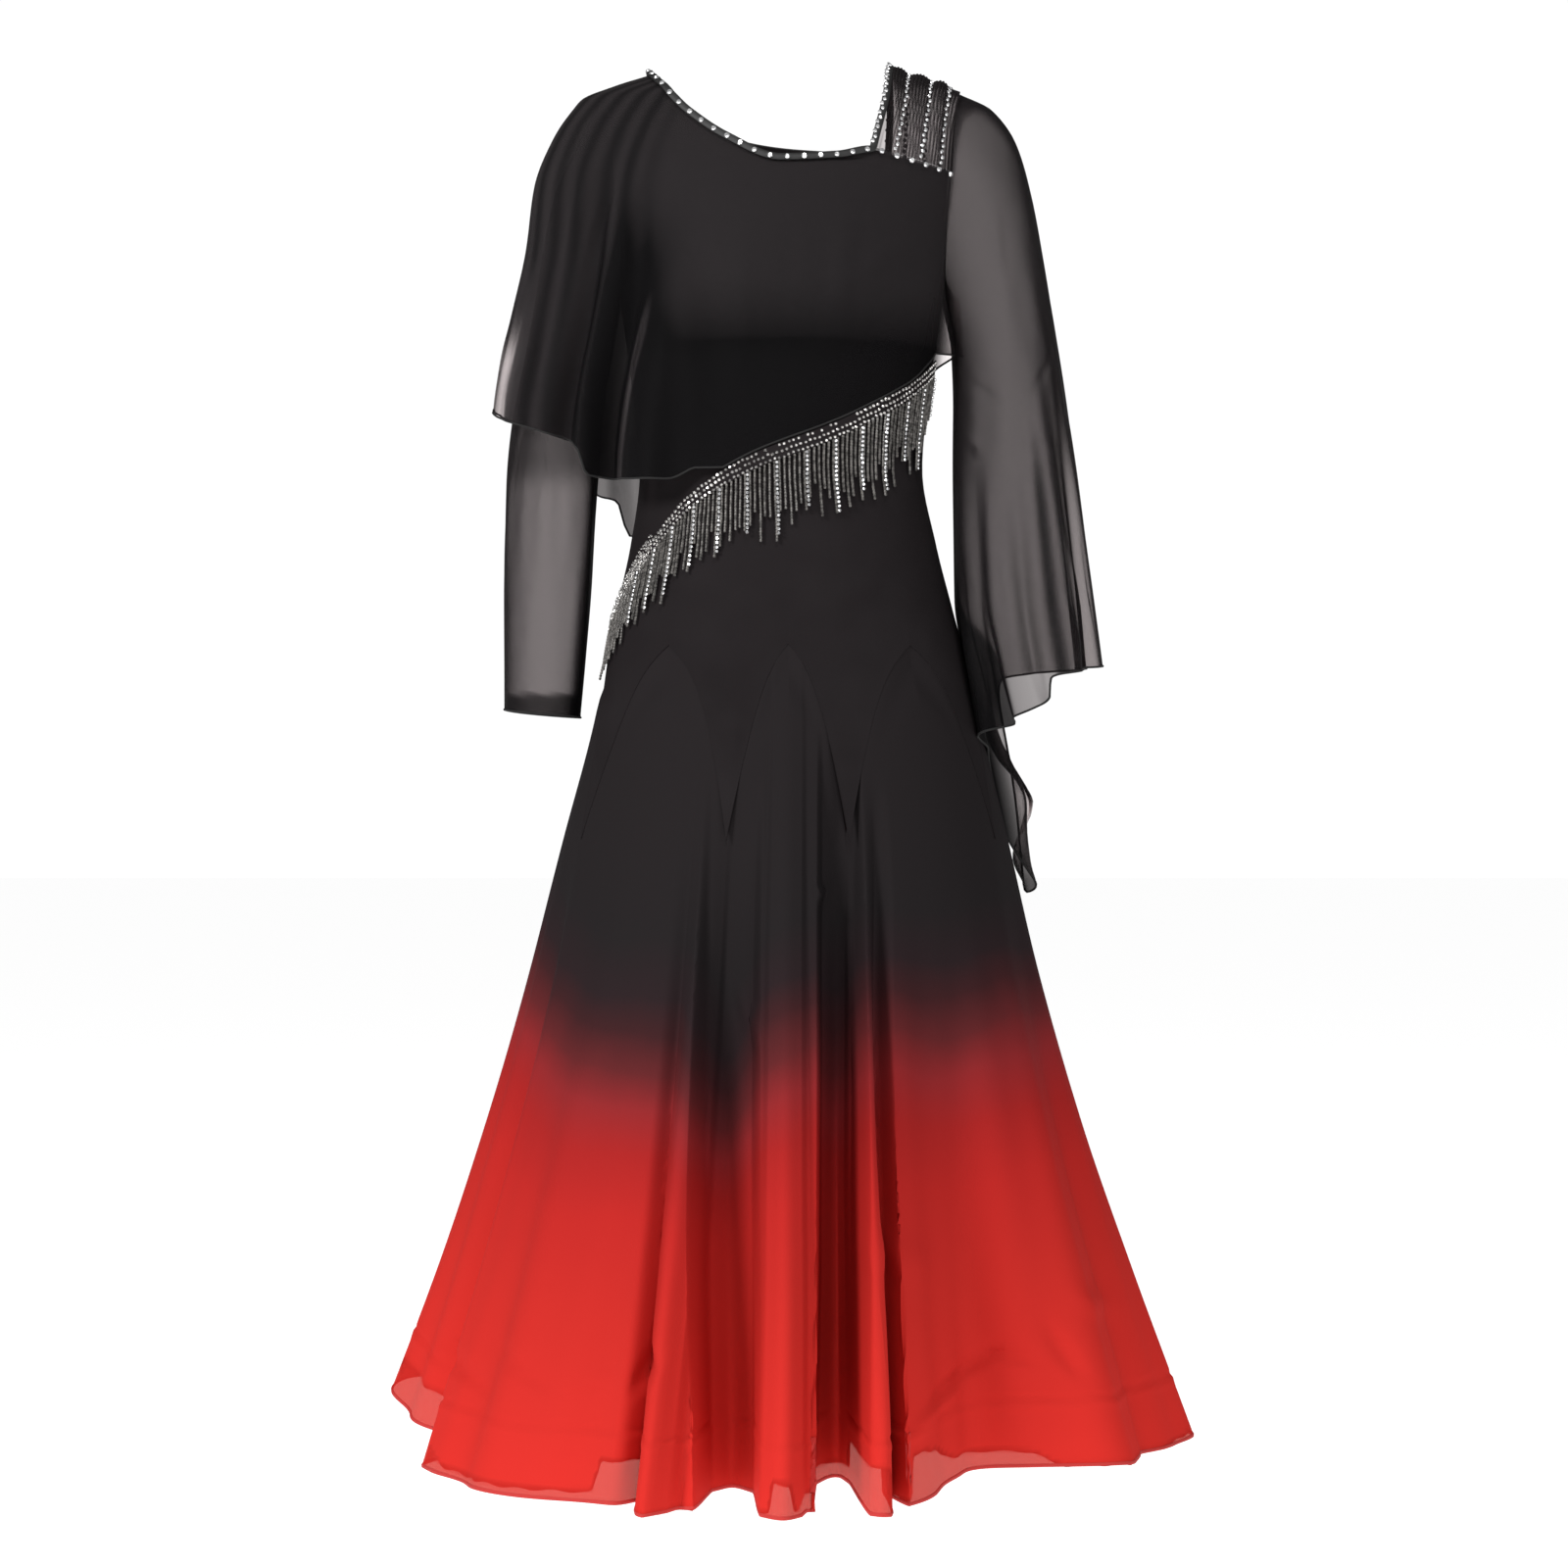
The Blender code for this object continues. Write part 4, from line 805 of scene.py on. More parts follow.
# %% The loop of the drape
DRAPE_EASE, SHARPNESS = 0.0035, 22
ARM = table("z outermost radius", """
    .004 -.088 .01; -.003 -.108 .014; -.015 -.14 .03; -.028 -.171 .04; -.06 -.1966 .048; -.099 -.2117 .052;
    -.155 -.219 .054; -.214 -.232 .056; -.29 -.2465 .058; -.4 -.252 .06
""")
DRAPE_FOLDS = table("place depth half_width start_z", """
    21 -.014 3.2 -.06; 25.5 .009 3 -.06; 30 -.016 3.2 -.1; 38 .01 5 -.17; 99.5 .034 6 -.13; 110 .012 9 -.18;
    140 .012 8 -.1; 156 .01 6 -.08; 165 -.012 5 -.08; 173 .008 5 -.08; 181 -.012 4 -.08
""")
CHART_Z = np.linspace(-0.402, 0.006, 103)
LOOP = np.linspace(-90, 270, 721)


def loop_reach(direction, z):
    """How far the loop reaches in a direction: the 22nd root of the sum of both reaches to the power 22, a soft
    way to take the larger."""
    turn = np.radians(direction)
    under = z - DRAPE_EASE
    half = read(BODY, "half_width", under) + DRAPE_EASE
    front, back = read(BODY, "front", under), read(BODY, "back", under)
    deep = np.where(np.cos(turn) > 0, front, back) + DRAPE_EASE
    torso = np.hypot(half * np.sin(turn), deep * np.cos(turn))
    radius = read(ARM, "radius", z)
    arm = (read(ARM, "outermost", z) + radius) * np.sin(turn) + radius
    return (torso**SHARPNESS + np.maximum(arm, 1e-4) ** SHARPNESS) ** (1 / SHARPNESS)


def loop_point(direction, z):
    """Where the loop touches the line that far out: reach along the direction, and its slope beside it."""
    turn = np.radians(direction)
    reach = loop_reach(direction, z)
    slope = (loop_reach(direction + 0.25, z) - loop_reach(direction - 0.25, z)) / math.radians(0.5)
    return reach * np.sin(turn) + slope * np.cos(turn), -reach * np.cos(turn) + slope * np.sin(turn)


print("at the bust the loop reaches", round(float(loop_reach(-90.0, -0.2)), 3), "m to the wearer's right")

# %% [markdown]
# A point of cloth is known by how far along the loop it lies, and the support function only knows directions. So the
# loop is measured once at many heights, which gives two charts: from a place on it to a direction, and from a
# direction in which a point is seen to its place.

# %% Two charts of the loop
def read_chart(chart, across, z):
    """A chart read between its numbers: rows are heights, and across is its column, as a fraction."""
    row = np.clip((z - CHART_Z[0]) / (CHART_Z[1] - CHART_Z[0]), 0, len(CHART_Z) - 1.001)
    column = np.clip(across, 0, chart.shape[1] - 1.001)
    r, c = row.astype(int), column.astype(int)
    fr, fc = row - r, column - c
    low = chart[r, c] * (1 - fc) + chart[r, c + 1] * fc
    return low * (1 - fr) + (chart[r + 1, c] * (1 - fc) + chart[r + 1, c + 1] * fc) * fr


def loop_charts():
    """Two charts by height: the direction of each place on the loop, and the place of each direction seen."""
    x, y = loop_point(LOOP, CHART_Z[:, None])
    run = np.cumsum(np.hypot(np.diff(x, prepend=x[:, :1]), np.diff(y, prepend=y[:, :1])), axis=1)
    half = run[:, 360:361]
    place = np.where(run <= half, 100 * run / half, 100 + 100 * (run - half) / (run[:, -1:] - half))
    seen = np.degrees(np.unwrap(np.arctan2(x, -y), axis=1)) + 90
    every = np.linspace(0, 200, 801)
    directions = np.stack([np.interp(every, known, LOOP) for known in place])
    places = np.stack([np.interp(np.linspace(0, 360, 721), s, p) for s, p in zip(seen, place)])
    return directions, places


DIRECTION_CHART, PLACE_CHART = loop_charts()
print("charts:", DIRECTION_CHART.shape, PLACE_CHART.shape)

# %% [markdown]
# With the charts, a point of the drape is found from its place and height, and the folds of DRAPE_FOLDS then move it
# out or in. The neckline and the armhole are known on the body, so their places are looked up the other way round.

# %% Points of the drape
def drape_form(place, z):
    """A point of the drape's form, moved out or in by its folds along the direction it faces."""
    place, z = np.broadcast_arrays(np.asarray(place, float) % 200, np.asarray(z, float))
    direction = read_chart(DIRECTION_CHART, place * 4, z)
    x, y = loop_point(direction, z)
    out = np.zeros(z.shape)
    for at, depth, wide, top in zip(*DRAPE_FOLDS.values()):
        share = np.clip((top - z) / 0.18, 0, 1.2)
        out = out + depth * share * bump(((place - at + 100) % 200 - 100) / wide)
    turn = np.radians(direction)
    return np.stack([x + out * np.sin(turn), y - out * np.cos(turn), z], -1)


def drape_place(x, z, behind):
    """The place and height on the loop straight off the body form's point with this x and z."""
    angle = body_angle(x, z, behind)
    off = bare_body(angle, z) + DRAPE_EASE * normals(bare_body, angle, z, 0.5, 0.0004)
    want = (np.degrees(np.arctan2(off[..., 0], -off[..., 1])) + 90) % 360
    want = np.where((want > 350) & (not behind), want - 360, want)
    return read_chart(PLACE_CHART, want * 2, off[..., 2]), off[..., 2]


print("folds of the drape:", len(DRAPE_FOLDS["place"]))

# %% [markdown]
# On the body the chiffon clings in long soft folds that hang from the neck and fan out towards the arm. Its free hem
# hangs lower behind, and in front it meets the beaded band.

# %% The drape's hem and creases
HEM_MEETS_BAND_Z = -0.33
DRAPE_HEM_FRONT = table("place z", """
    0 -.288; 5 -.296; 19 -.315; 25 -.328; 26.8 -.35; 33 -.353; 41 -.354; 46 -.345
""")
DRAPE_HEM_BACK = table("place z", """
    100 -.236; 115 -.29; 135 -.35; 150 -.384; 163 -.394; 167.4 -.392; 168.8 -.362; 172.4 -.356; 175 -.318;
    180 -.306; 190 -.296; 200 -.288
""")
FRONT_CREASES = numbers("""
    -.084 -.15 -.071 -.345 .0045 .014; -.062 -.12 -.05 -.35 -.0022 .01; -.035 -.095 -.03 -.33 .002 .014;
    .01 -.1 0 -.31 -.0014 .012; .06 -.095 .04 -.29 .0022 .016; .128 -.13 .03 -.215 .0018 .01;
    .13 -.185 .05 -.245 -.0018 .009; -.1 -.02 -.15 -.24 .0025 .01; -.12 -.03 -.178 -.23 -.0028 .009;
    -.145 -.035 -.205 -.25 .003 .01; -.09 -.045 -.122 -.3 -.0022 .009; .02 -.082 .09 -.088 -.0016 .005;
    -.2 -.19 -.215 -.32 -.003 .008; -.232 -.2 -.238 -.3 .002 .008
""")
BACK_CREASES = numbers("""
    -.1 -.03 -.13 -.32 .004 .014; -.06 -.06 -.08 -.34 -.003 .012; -.02 -.07 -.04 -.33 .0035 .014;
    .03 -.08 .01 -.32 -.0025 .012; .07 -.085 .06 -.3 .003 .013; .11 -.11 .1 -.26 -.002 .01;
    -.15 -.04 -.19 -.3 .0035 .011
""")


def drape_hem(place, behind):
    """The drape's free hem; on the front it meets the beaded band and follows it up to the wearer's left."""
    if behind:
        return read(DRAPE_HEM_BACK, "z", place)
    about = np.full(np.shape(place), HEM_MEETS_BAND_Z)
    band = slant_z(body_angle(drape_form(place, about)[..., 0], about)) + 0.009
    return np.maximum(read(DRAPE_HEM_FRONT, "z", place), band)


print("creases in front:", len(FRONT_CREASES), "and behind:", len(BACK_CREASES))

# %% [markdown]
# How dark sheer cloth looks depends on how many layers hang over each other. The mark "doubled" says so: 0 is one
# layer and 1 is two. On the drape it is also raised below the bust and in the fold beside the arm as painted shade,
# which sinks the colour. Where the loop leaves the torso for the arm, a slit of light shows through a single layer,
# so the mark is lowered there. The free hem ends in a hair-thin rolled edge, sewn over a cord of thread.

# %% Drape front and back
def drape_layers(place, z, behind):
    """How far the drape is doubled: more where it folds beside the arm, partly as painted shade there, less along the
    outside of the arm, at the side seam and in the slit. Below the bust it is raised for painted shade, which sinks
    the colour to near black."""
    from_arm = np.minimum(place, 200 - place)
    outer = (1 - ease((from_arm - 7) / 3)) * below(z, -0.15, 0.1)
    on_arm = 1 - ease((from_arm - 26) / 8)
    # Partly painted shade: the fold beside the arm is darkened beyond its real layers.
    fold = (0.1 if behind else 1.2) * bump((from_arm - 30) / 12) * below(z, -0.1, 0.1)
    # Painted shade below the bust: the colour sinks to near black, and the second step also closes the weave.
    under_bust_shade = 0.9 * below(z, -0.185, 0.07) + 2.5 * below(z, -0.235, 0.04)
    layers = 0.65 + 0.35 * on_arm + fold - 1.8 * outer
    layers = layers + under_bust_shade * ease((place - 32) / 6) * (not behind)
    layers = layers + 0.35 * np.sin(place * 1.3 + 9 * z) * on_arm * (1 - outer)
    layers = np.maximum(layers - 3.2 * bump((place - 100) / 6) * below(z, -0.175, 0.02), -0.93)
    if behind:
        return layers - 0.6 * ease((place - 170) / 3) * below(z, -0.33, 0.01)
    slit = bump((place - 32.2 - 8 * (z + 0.3)) / 1.3) * below(z, -0.19, 0.06)
    return layers * (1 - slit) - 0.6 * slit


def drape(name, behind, columns=156, rows=90):
    """Half of the drape, over the arm on one side and to the armhole on the other, with its rolled hem."""
    ends = (199.95, 100.05) if behind else (0.05, 99.95)
    place, z = torso_pattern(drape_place, False, ends, behind, lambda at: drape_hem(at, behind), columns, rows)
    flat = drape_form(place, z)
    side = np.minimum(np.abs(place - ends[0]), np.abs(place - ends[1]))
    moved = creases(BACK_CREASES if behind else FRONT_CREASES, flat[..., 0], z) * ease(side / 4)
    on_arm = ease((place - 150) / 20) if behind else 1 - ease((place - 14) / 12)
    ripple = np.sin(place * 0.9 + 5 * z) * 0.0009 + np.sin(place * 1.9 - 8 * z + 1) * 0.0004
    ripple = ripple * (0.25 + 0.75 * on_arm)
    moved = moved + ripple * below(z, -0.06, 0.12) * ease(side / 4)
    moved = np.where((place > 36) & (place < 158), np.maximum(moved, -0.0014), moved)
    points = lifted(flat, moved)
    marks = {"doubled": drape_layers(place, z, behind)}
    piece = cloth(f"{name}_cloth", points, CHIFFON, thick=SHEER, marks=marks)
    hem_out = grid_normals(points, False)[0]
    roll = tube(f"{name}_rolled_hem", points[0], hem_out, 0.0009, DARK_ROLL, closed=False)
    dress(roll, "black_chiffon")
    return dress(piece, "black_chiffon", name)


drapes = [drape("drape_front", False), drape("drape_back", True)]
print("drape points:", [len(p.data.vertices) for p in drapes])

# %% [markdown]
# Over the wearer's left shoulder lies a strip of mesh, gathered between rows of small stones. The gathers puff up
# between the rows, and fine streaks run along them. The strip is a grid whose share runs from neck to armhole and
# whose "over" runs from the front neckline over the shoulder to the back one.

# %% Gathered shoulder mesh
MESH_NECK = table("z x", ".001 .089; -.02 .0868; -.05 .08; -.061 .077; -.077 .073")
CHAIN_SHARES = (0.02, 0.31, 0.62, 0.86)
SHOULDER_Z = 0.0008  # the strip's highest point, beside the neck


def mesh_form(share, over):
    """A point of the shoulder strip, on the body form."""
    behind = over > 0
    neck_front = read(FRONT_NECK, "z", MESH_FRONT_X)
    neck = np.where(behind, read(BACK_NECK, "z", MESH_BACK_X), neck_front)
    arm = np.where(behind, BACK_NECK["z"][-1], FRONT_NECK["z"][-1])
    neck_z, arm_z = SHOULDER_Z + (neck - SHOULDER_Z) * over**2, ARMHOLE_TOP + (arm - ARMHOLE_TOP) * over**2
    neck_x = read(MESH_NECK, "x", neck_z)
    neck_x = neck_x + np.where(behind, (MESH_BACK_X - MESH_FRONT_X) * over**2, 0)
    x, z = neck_x + (armhole_x(arm_z) - neck_x) * share, neck_z + (arm_z - neck_z) * share
    inward = 1 - 1e-6 * (1 - over**2)
    return bare_body(body_angle(x * inward, z, behind), z)


def mesh_normals(share, over):
    """Points of the strip and their outward normals."""
    return mesh_form(share, over), normals(mesh_form, share, over, 0.02, 0.02)


def streaks(share, over):
    """The gathers' fine streaks, from -1 to 1: 23 of them across the strip."""
    return np.sin(2 * math.pi * (23 * share + 0.5 * np.sin(5 * over)))


def mesh_rise(share, over):
    """How far the gathers puff up: a half wave between each two chains of stones, with fine streaks on it."""
    edges = np.array(CHAIN_SHARES)
    k = np.clip(np.searchsorted(edges, share, "right") - 1, 0, 2)
    between = np.clip((share - edges[k]) / (edges[k + 1] - edges[k]), 0, 1)
    puff = np.sin(math.pi * between)
    return (0.0035 * puff + 0.0006 * streaks(share, over) * puff) * (1 - over**6)


share, over = np.broadcast_arrays(np.linspace(0.004, 0.999, 91)[None, :], np.linspace(-0.996, 0.996, 121)[:, None])
strip, strip_out = mesh_normals(share, over)
strip = strip + (DRAPE_EASE + 0.0006 + mesh_rise(share, over))[..., None] * strip_out
layers = 0.35 + 0.7 * streaks(share, over)
at_neck = bump((share - 0.04 - 0.12 * np.abs(over)) / 0.09) * ease((np.abs(over) - 0.35) / 0.2)
layers = layers - (layers + 0.5) * at_neck
shoulder = cloth("shoulder_mesh_cloth", strip, STRETCH_MESH, thick=SHEER, marks={"doubled": layers})
dress(shoulder, "stretch_mesh", "shoulder_mesh")
print("shoulder mesh points:", len(shoulder.data.vertices))

# %% [markdown]
# A band of satin, cut on the bias and folded over the raw edge, finishes the neck. It is one closed flattened cord
# that follows the drape's neckline in front, the mesh's edge over the shoulder, and the drape again behind.

# %% Neckline binding
def evenly(path, count, closed=True):
    """The same line with its points at even steps of length; extra columns are carried along."""
    loop = np.concatenate([path, path[:1]]) if closed else path
    run = run_along(loop[:, :3])
    want = np.linspace(0, run[-1], count, endpoint=not closed)
    return np.stack([np.interp(want, run, column) for column in loop.T], -1), run[-1]


def neck_line(count, over_shoulder=True):
    """The neckline's points, its outward normals and the direction down the cloth: all the way round and over the
    shoulder's edge, or from armhole to armhole under the mesh's lower edges."""
    lines = []
    for neck, stop, behind in ((FRONT_NECK, MESH_FRONT_X, False), (BACK_NECK, MESH_BACK_X, True)):
        x, z = neck_points(neck, 300)
        kept = x < (stop if over_shoulder else ARM_END_X)
        place, high = drape_place(x[kept], z[kept], behind)
        lines.append(np.concatenate([drape_form(place, high), normals(drape_form, place, high, 0.8, 0.0006)], -1))
    overs = np.linspace(-1, 1, 90)
    shoulder_out = mesh_normals(np.full(90, 0.02), overs)[1]
    middle = np.concatenate([mesh_form(np.full(90, 0.001), overs), shoulder_out], -1)
    middle[:, :3] += DRAPE_EASE * shoulder_out
    parts = [lines[0], middle, lines[1][::-1][:-1]] if over_shoulder else [lines[1][::-1], lines[0][1:]]
    line, length = evenly(np.concatenate(parts), count, over_shoulder)
    path, out = line[:, :3], line[:, 3:]
    for _ in range(3):
        out = (np.roll(out, 1, 0) + out + np.roll(out, -1, 0)) / 3 if over_shoulder else out
    return path, unit(out), unit(np.cross(heading(path, over_shoulder), out)), length


path, out, down, neck_length = neck_line(360)
binding = tube("neck_binding_satin", path + 0.0028 * down + 0.0026 * out, out, 0.0014, SATIN, sides=10, flat=2.3)
dress(binding, "binding", "neck_binding")
print("neckline:", round(float(neck_length), 3), "m")

# %% [markdown]
# A sleeve starts on the oval of its armhole and eases into its own tube, whose outer, inner, front and back sides
# each follow a table. The wearer's left sleeve is a bell that falls in a tail behind the hand. Its hem and fold lines
# come from tables too, and small wrinkles are added across the elbow and along the folds.

# %% Sleeve forms
SLEEVE_LEFT = table("z outer inner front back", """
    -.021 .152 .14 .004 .004; -.034 .179 .14 .018 .018; -.063 .2 .14 .034 .034; -.105 .2125 .14 .045 .045;
    -.155 .2225 .14 .052 .052; -.198 .23 .144 .056 .056; -.24 .236 .1492 .059 .059; -.35 .252 .1487 .066 .068;
    -.45 .266 .15 .074 .08; -.51 .274 .1605 .078 .088; -.58 .282 .1775 .082 .096; -.71 .295 .204 .086 .108
""")
SLEEVE_RIGHT = table("z outer inner front back", """
    -.021 .152 .14 .004 .004; -.034 .158 .14 .013 .013; -.063 .173 .14 .026 .026; -.105 .192 .14 .036 .036;
    -.155 .203 .14 .041 .041; -.198 .21 .144 .042 .042; -.24 .217 .148 .04 .04; -.3 .2285 .155 .038 .038;
    -.355 .233 .1588 .037 .037; -.45 .2355 .1645 .035 .035; -.55 .2355 .1735 .031 .031
""")
SLEEVE_LEFT_HEM = table("turn z", """
    0 -.508; 60 -.51; 95 -.513; 110 -.516; 119 -.545; 128 -.64; 140 -.703; 152 -.692; 165 -.64; 180 -.592;
    203 -.57; 229 -.556; 273 -.537; 280 -.519; 296 -.515; 320 -.511; 360 -.508
""")
SLEEVE_RIGHT_HEM = table("turn z", "0 -.545; 180 -.552; 360 -.545")
SLEEVE_LEFT_FOLDS = table("turn depth half_width start_z", """
    318 -.02 16 -.26; 296 .014 12 -.24; 274 -.008 14 -.3; 226 -.016 15 -.32; 208 .015 17 -.44;
    150 -.014 14 -.4; 112 .012 14 -.3; 84 -.018 15 -.28; 50 .012 14 -.24; 22 -.014 14 -.26
""")


FOLDS_FULL_Z = -0.58  # the height at which a sleeve's fold reaches its depth


def sleeve_form(side, sizes, hems, folds, gap):
    """A sleeve as a form: turn goes round it, up runs from 0 at its hem to 1 at the armhole."""

    def ring(turn, z):
        """The sleeve's own tube: an oval between its inner and outer side, moved out or in by its folds."""
        outer, inner = read(sizes, "outer", z), read(sizes, "inner", z)
        angle = np.radians(turn)
        deep = np.where(np.sin(angle) > 0, read(sizes, "back", z), read(sizes, "front", z))
        out = np.zeros_like(angle * z)
        for at, depth, wide, top in zip(*folds.values()):
            share = np.clip((top - z) / (top - FOLDS_FULL_Z), 0, 1.3)
            out = out + depth * share * bump(turned(turn - at) / wide)
        x = (outer + inner) / 2 + ((outer - inner) / 2 + out) * np.cos(angle)
        return np.stack([x, (deep + out) * np.sin(angle)], -1)

    def form(turn, up):
        """A point of the sleeve: the tube, held to the armhole's edge at its top and let go over 10 cm."""
        angle = np.radians(turn)
        top_z = ARMHOLE_TOP + (UNDERARM - ARMHOLE_TOP) * (1 - np.cos(angle)) / 2
        z = read(hems, "z", turn % 360)
        z = z + (top_z - z) * up
        at_arm = bare_body(body_angle(armhole_x(top_z) - 1e-9, top_z), top_z)
        arm_x = at_arm[..., 0] + 0.0002 + gap * np.abs(np.sin(angle / 2)) ** 0.7
        arm_y = np.abs(at_arm[..., 1]) * np.sign(np.sin(angle))
        start, flat = ring(turn, top_z), ring(turn, z)
        held = 1 - np.sin(math.pi / 2 * np.clip((top_z - z) / 0.1, 0, 1))
        x = flat[..., 0] + (arm_x - start[..., 0]) * held
        y = flat[..., 1] + (arm_y - start[..., 1]) * held
        return np.stack([side * x, y, z], -1)

    return form


print("the bell's hem hangs from", SLEEVE_LEFT_HEM["z"].max(), "to", SLEEVE_LEFT_HEM["z"].min(), "m")

# %% [markdown]
# Sleeve wrinkles are creases on a flat picture of the sleeve, in which the turn round it counts as 1.5 mm a degree.
# A thin rolled edge runs round its hem.

# %% A sleeve with its wrinkles
TURN_METRES = 0.0015  # for a degree
SLEEVE_LIFT = 0.0017
LEFT_WRINKLES = numbers("""
    .3 -.26 .42 -.3 -.0022 .01; .4 -.34 .53 -.31 .002 .011; .02 -.23 .11 -.28 -.002 .01;
    .13 -.33 .23 -.3 .002 .01; .43 -.42 .47 -.54 .003 .01; .38 -.4 .4 -.56 -.0026 .009;
    .5 -.38 .515 -.51 -.0024 .009; .06 -.38 .05 -.51 .0028 .01; .3 -.44 .33 -.58 .0026 .01;
    .19 -.48 .2 -.69 .003 .009; .23 -.5 .215 -.68 -.0026 .008; .45 -.1 .4 -.2 .0018 .01;
    .08 -.09 .13 -.19 .0018 .01; .205 -.585 .19 -.665 -.02 .034; .215 -.53 .205 -.6 .008 .03;
    .205 -.65 .215 -.7 .006 .024
""")
RIGHT_WRINKLES = numbers("""
    .36 -.44 .5 -.455 .0014 .006; .34 -.462 .52 -.478 -.0014 .006; .37 -.49 .48 -.5 .0012 .006;
    .03 -.45 .16 -.465 .0014 .006; .05 -.48 .19 -.492 -.0014 .006; .38 -.3 .44 -.4 .0016 .008;
    .46 -.28 .5 -.38 -.0014 .007; .1 -.28 .14 -.39 .0016 .008
""")


def sleeve(name, side, form, finish, wrinkles, doubled_at, columns, rows):
    """A sleeve as a closed tube of cloth, its columns turned so that its face looks outwards."""
    turn = np.linspace(0, 360, columns, endpoint=False)[None, :]
    up = 1 - np.linspace(1, 0, rows + 1)[:, None] ** 1.15
    turn, up = np.broadcast_arrays(turn, up)
    turn = turn if side > 0 else 360 - turn
    flat = form(turn, up)
    near, z = turn * TURN_METRES, flat[..., 2]
    waves = 0.001 * np.sin(near * 61 + z * 13) + 0.0006 * np.sin(near * 127 - z * 31)
    moved = creases(wrinkles, near, z) + waves * bump(2 * up - 1)
    moved = SLEEVE_LIFT + moved * ease(up / 0.02) * ease((1 - up) / 0.08)
    points = lifted(flat, moved, True)
    marks = {"doubled": doubled_at(turn, z, up)}
    made = cloth(f"{name}_cloth", points, finish, closed=True, thick=SHEER, marks=marks)
    roll = tube(f"{name}_hem", points[0], grid_normals(points, True)[0], 0.001, DARK_ROLL)
    dress(roll, "stretch_mesh")
    return dress(made, "stretch_mesh", name)


print("wrinkles:", len(LEFT_WRINKLES), "and", len(RIGHT_WRINKLES))

# %% [markdown]
# The fitted sleeve ends in a plain hem of two layers, which the mark "doubled" makes darker, and the front of the
# bell is doubled where its flare folds back on itself.

# %% Both sleeves
def armhole_seam(up):
    """The doubled cloth of a sleeve's top seam."""
    return 0.8 * ease((up - 0.985) / 0.01)


def bell_layers(turn, z, up):
    """Where the bell is doubled: a pleat in front, the flare that folds under at its inner side, and its seam. It is
    single on its outer side and at its tip."""
    pleat = 1.6 * bump(turned(turn - 288) / 7) * below(z, -0.3, 0.08)
    outer = -0.75 * bump(turned(turn - 340) / 62) * below(z, -0.24, 0.12)
    edge = 180 + 56 * below(z, -0.37, 0.17)
    under = 1.8 * ease((edge - turn) / 5) * ease((turn - 150) / 12) * below(z, -0.36, 0.04)
    tip = -1.6 * bump(turned(turn - 131) / 22) * below(z, -0.612, 0.006) * ease((z + 0.672) / 0.006)
    behind = 0.2 * bump(turned(turn - 190) / 60)
    return np.maximum(pleat + outer + under + tip + behind + armhole_seam(up), -0.8)


def cuff_layers(turn, z, up):
    """Where the fitted sleeve is doubled: its hem, its inner side, above the elbow and the armhole seam."""
    inner_side = 2.4 * bump(turned(turn - 180) / 55) * below(z, -0.3, 0.08)
    hem, upper = 1.1 * below(z, -0.531, 0.004), 0.5 * ease((z + 0.36) / 0.03)
    return hem + inner_side + upper + armhole_seam(up)


left_form = sleeve_form(1, SLEEVE_LEFT, SLEEVE_LEFT_HEM, SLEEVE_LEFT_FOLDS, 0.002)
right_form = sleeve_form(-1, SLEEVE_RIGHT, SLEEVE_RIGHT_HEM, {}, 0.0004)
sleeves = [
    sleeve("sleeve_left", 1, left_form, BELL_MESH, LEFT_WRINKLES, bell_layers, 200, 130),
    sleeve("sleeve_right", -1, right_form, STRETCH_MESH, RIGHT_WRINKLES, cuff_layers, 110, 110),
]
print("sleeve points:", [len(p.data.vertices) for p in sleeves])

# %% [markdown]
# Stones and beads are small closed shapes repeated by the hundred. Each has only a few faces: a flat-backed stone is
# an eight-sided table on sloping facets, and a bead is a short six-sided barrel. One function sets copies of a shape
# at given places, each turned to stand on the cloth, with all copies in one mesh.

# %% Copies of a small shape
def copies(name, shape, faces, centres, frames, sizes, finish):
    """Every copy is centre + size times the shape's points read along its own three directions."""
    points = centres[:, None] + sizes[:, None, None] * np.einsum("pk,nkj->npj", shape, frames)
    shifts = np.arange(len(centres)) * len(shape)
    every = [[index + shift for index in face] for shift in shifts.tolist() for face in faces]
    return mesh_object(name, points, every, finish, shaded=False)


def stone_shape(sides=8):
    """A flat-backed stone of radius 1: a low girdle and a table, 0.62 as wide and 0.55 high."""
    turn = np.arange(sides) * 2 * math.pi / sides
    ring = np.stack([np.cos(turn), np.sin(turn)], -1)
    half_step = np.stack([np.cos(turn + math.pi / sides), np.sin(turn + math.pi / sides)], -1)
    levels = [np.pad(ring, ((0, 0), (0, 1))), np.pad(0.62 * half_step, ((0, 0), (0, 1)), constant_values=0.55)]
    a, b = np.arange(sides), sides + np.arange(sides)
    after = np.roll(a, -1)
    facets = [*np.stack([a, after, b], -1).tolist(), *np.stack([after, np.roll(b, -1), b], -1).tolist()]
    return np.concatenate(levels), facets + [b.tolist(), a[::-1].tolist()]


def bead_shape(sides=6):
    """A barrel of radius 1 and length 2: rings of radius 0.7, 1 and 0.7 with flat ends."""
    turn = np.arange(sides) * 2 * math.pi / sides
    rings = [(0.7, -0.85), (1.0, 0.0), (0.7, 0.85)]
    points = np.concatenate([np.stack([r * np.cos(turn), 0 * turn + y, -r * np.sin(turn)], -1) for r, y in rings])
    number = np.arange(3 * sides).reshape(3, sides)
    around = quads(np.concatenate([number, number[:, :1]], 1)).tolist()
    return points, around + [number[0, ::-1].tolist(), number[-1].tolist()]


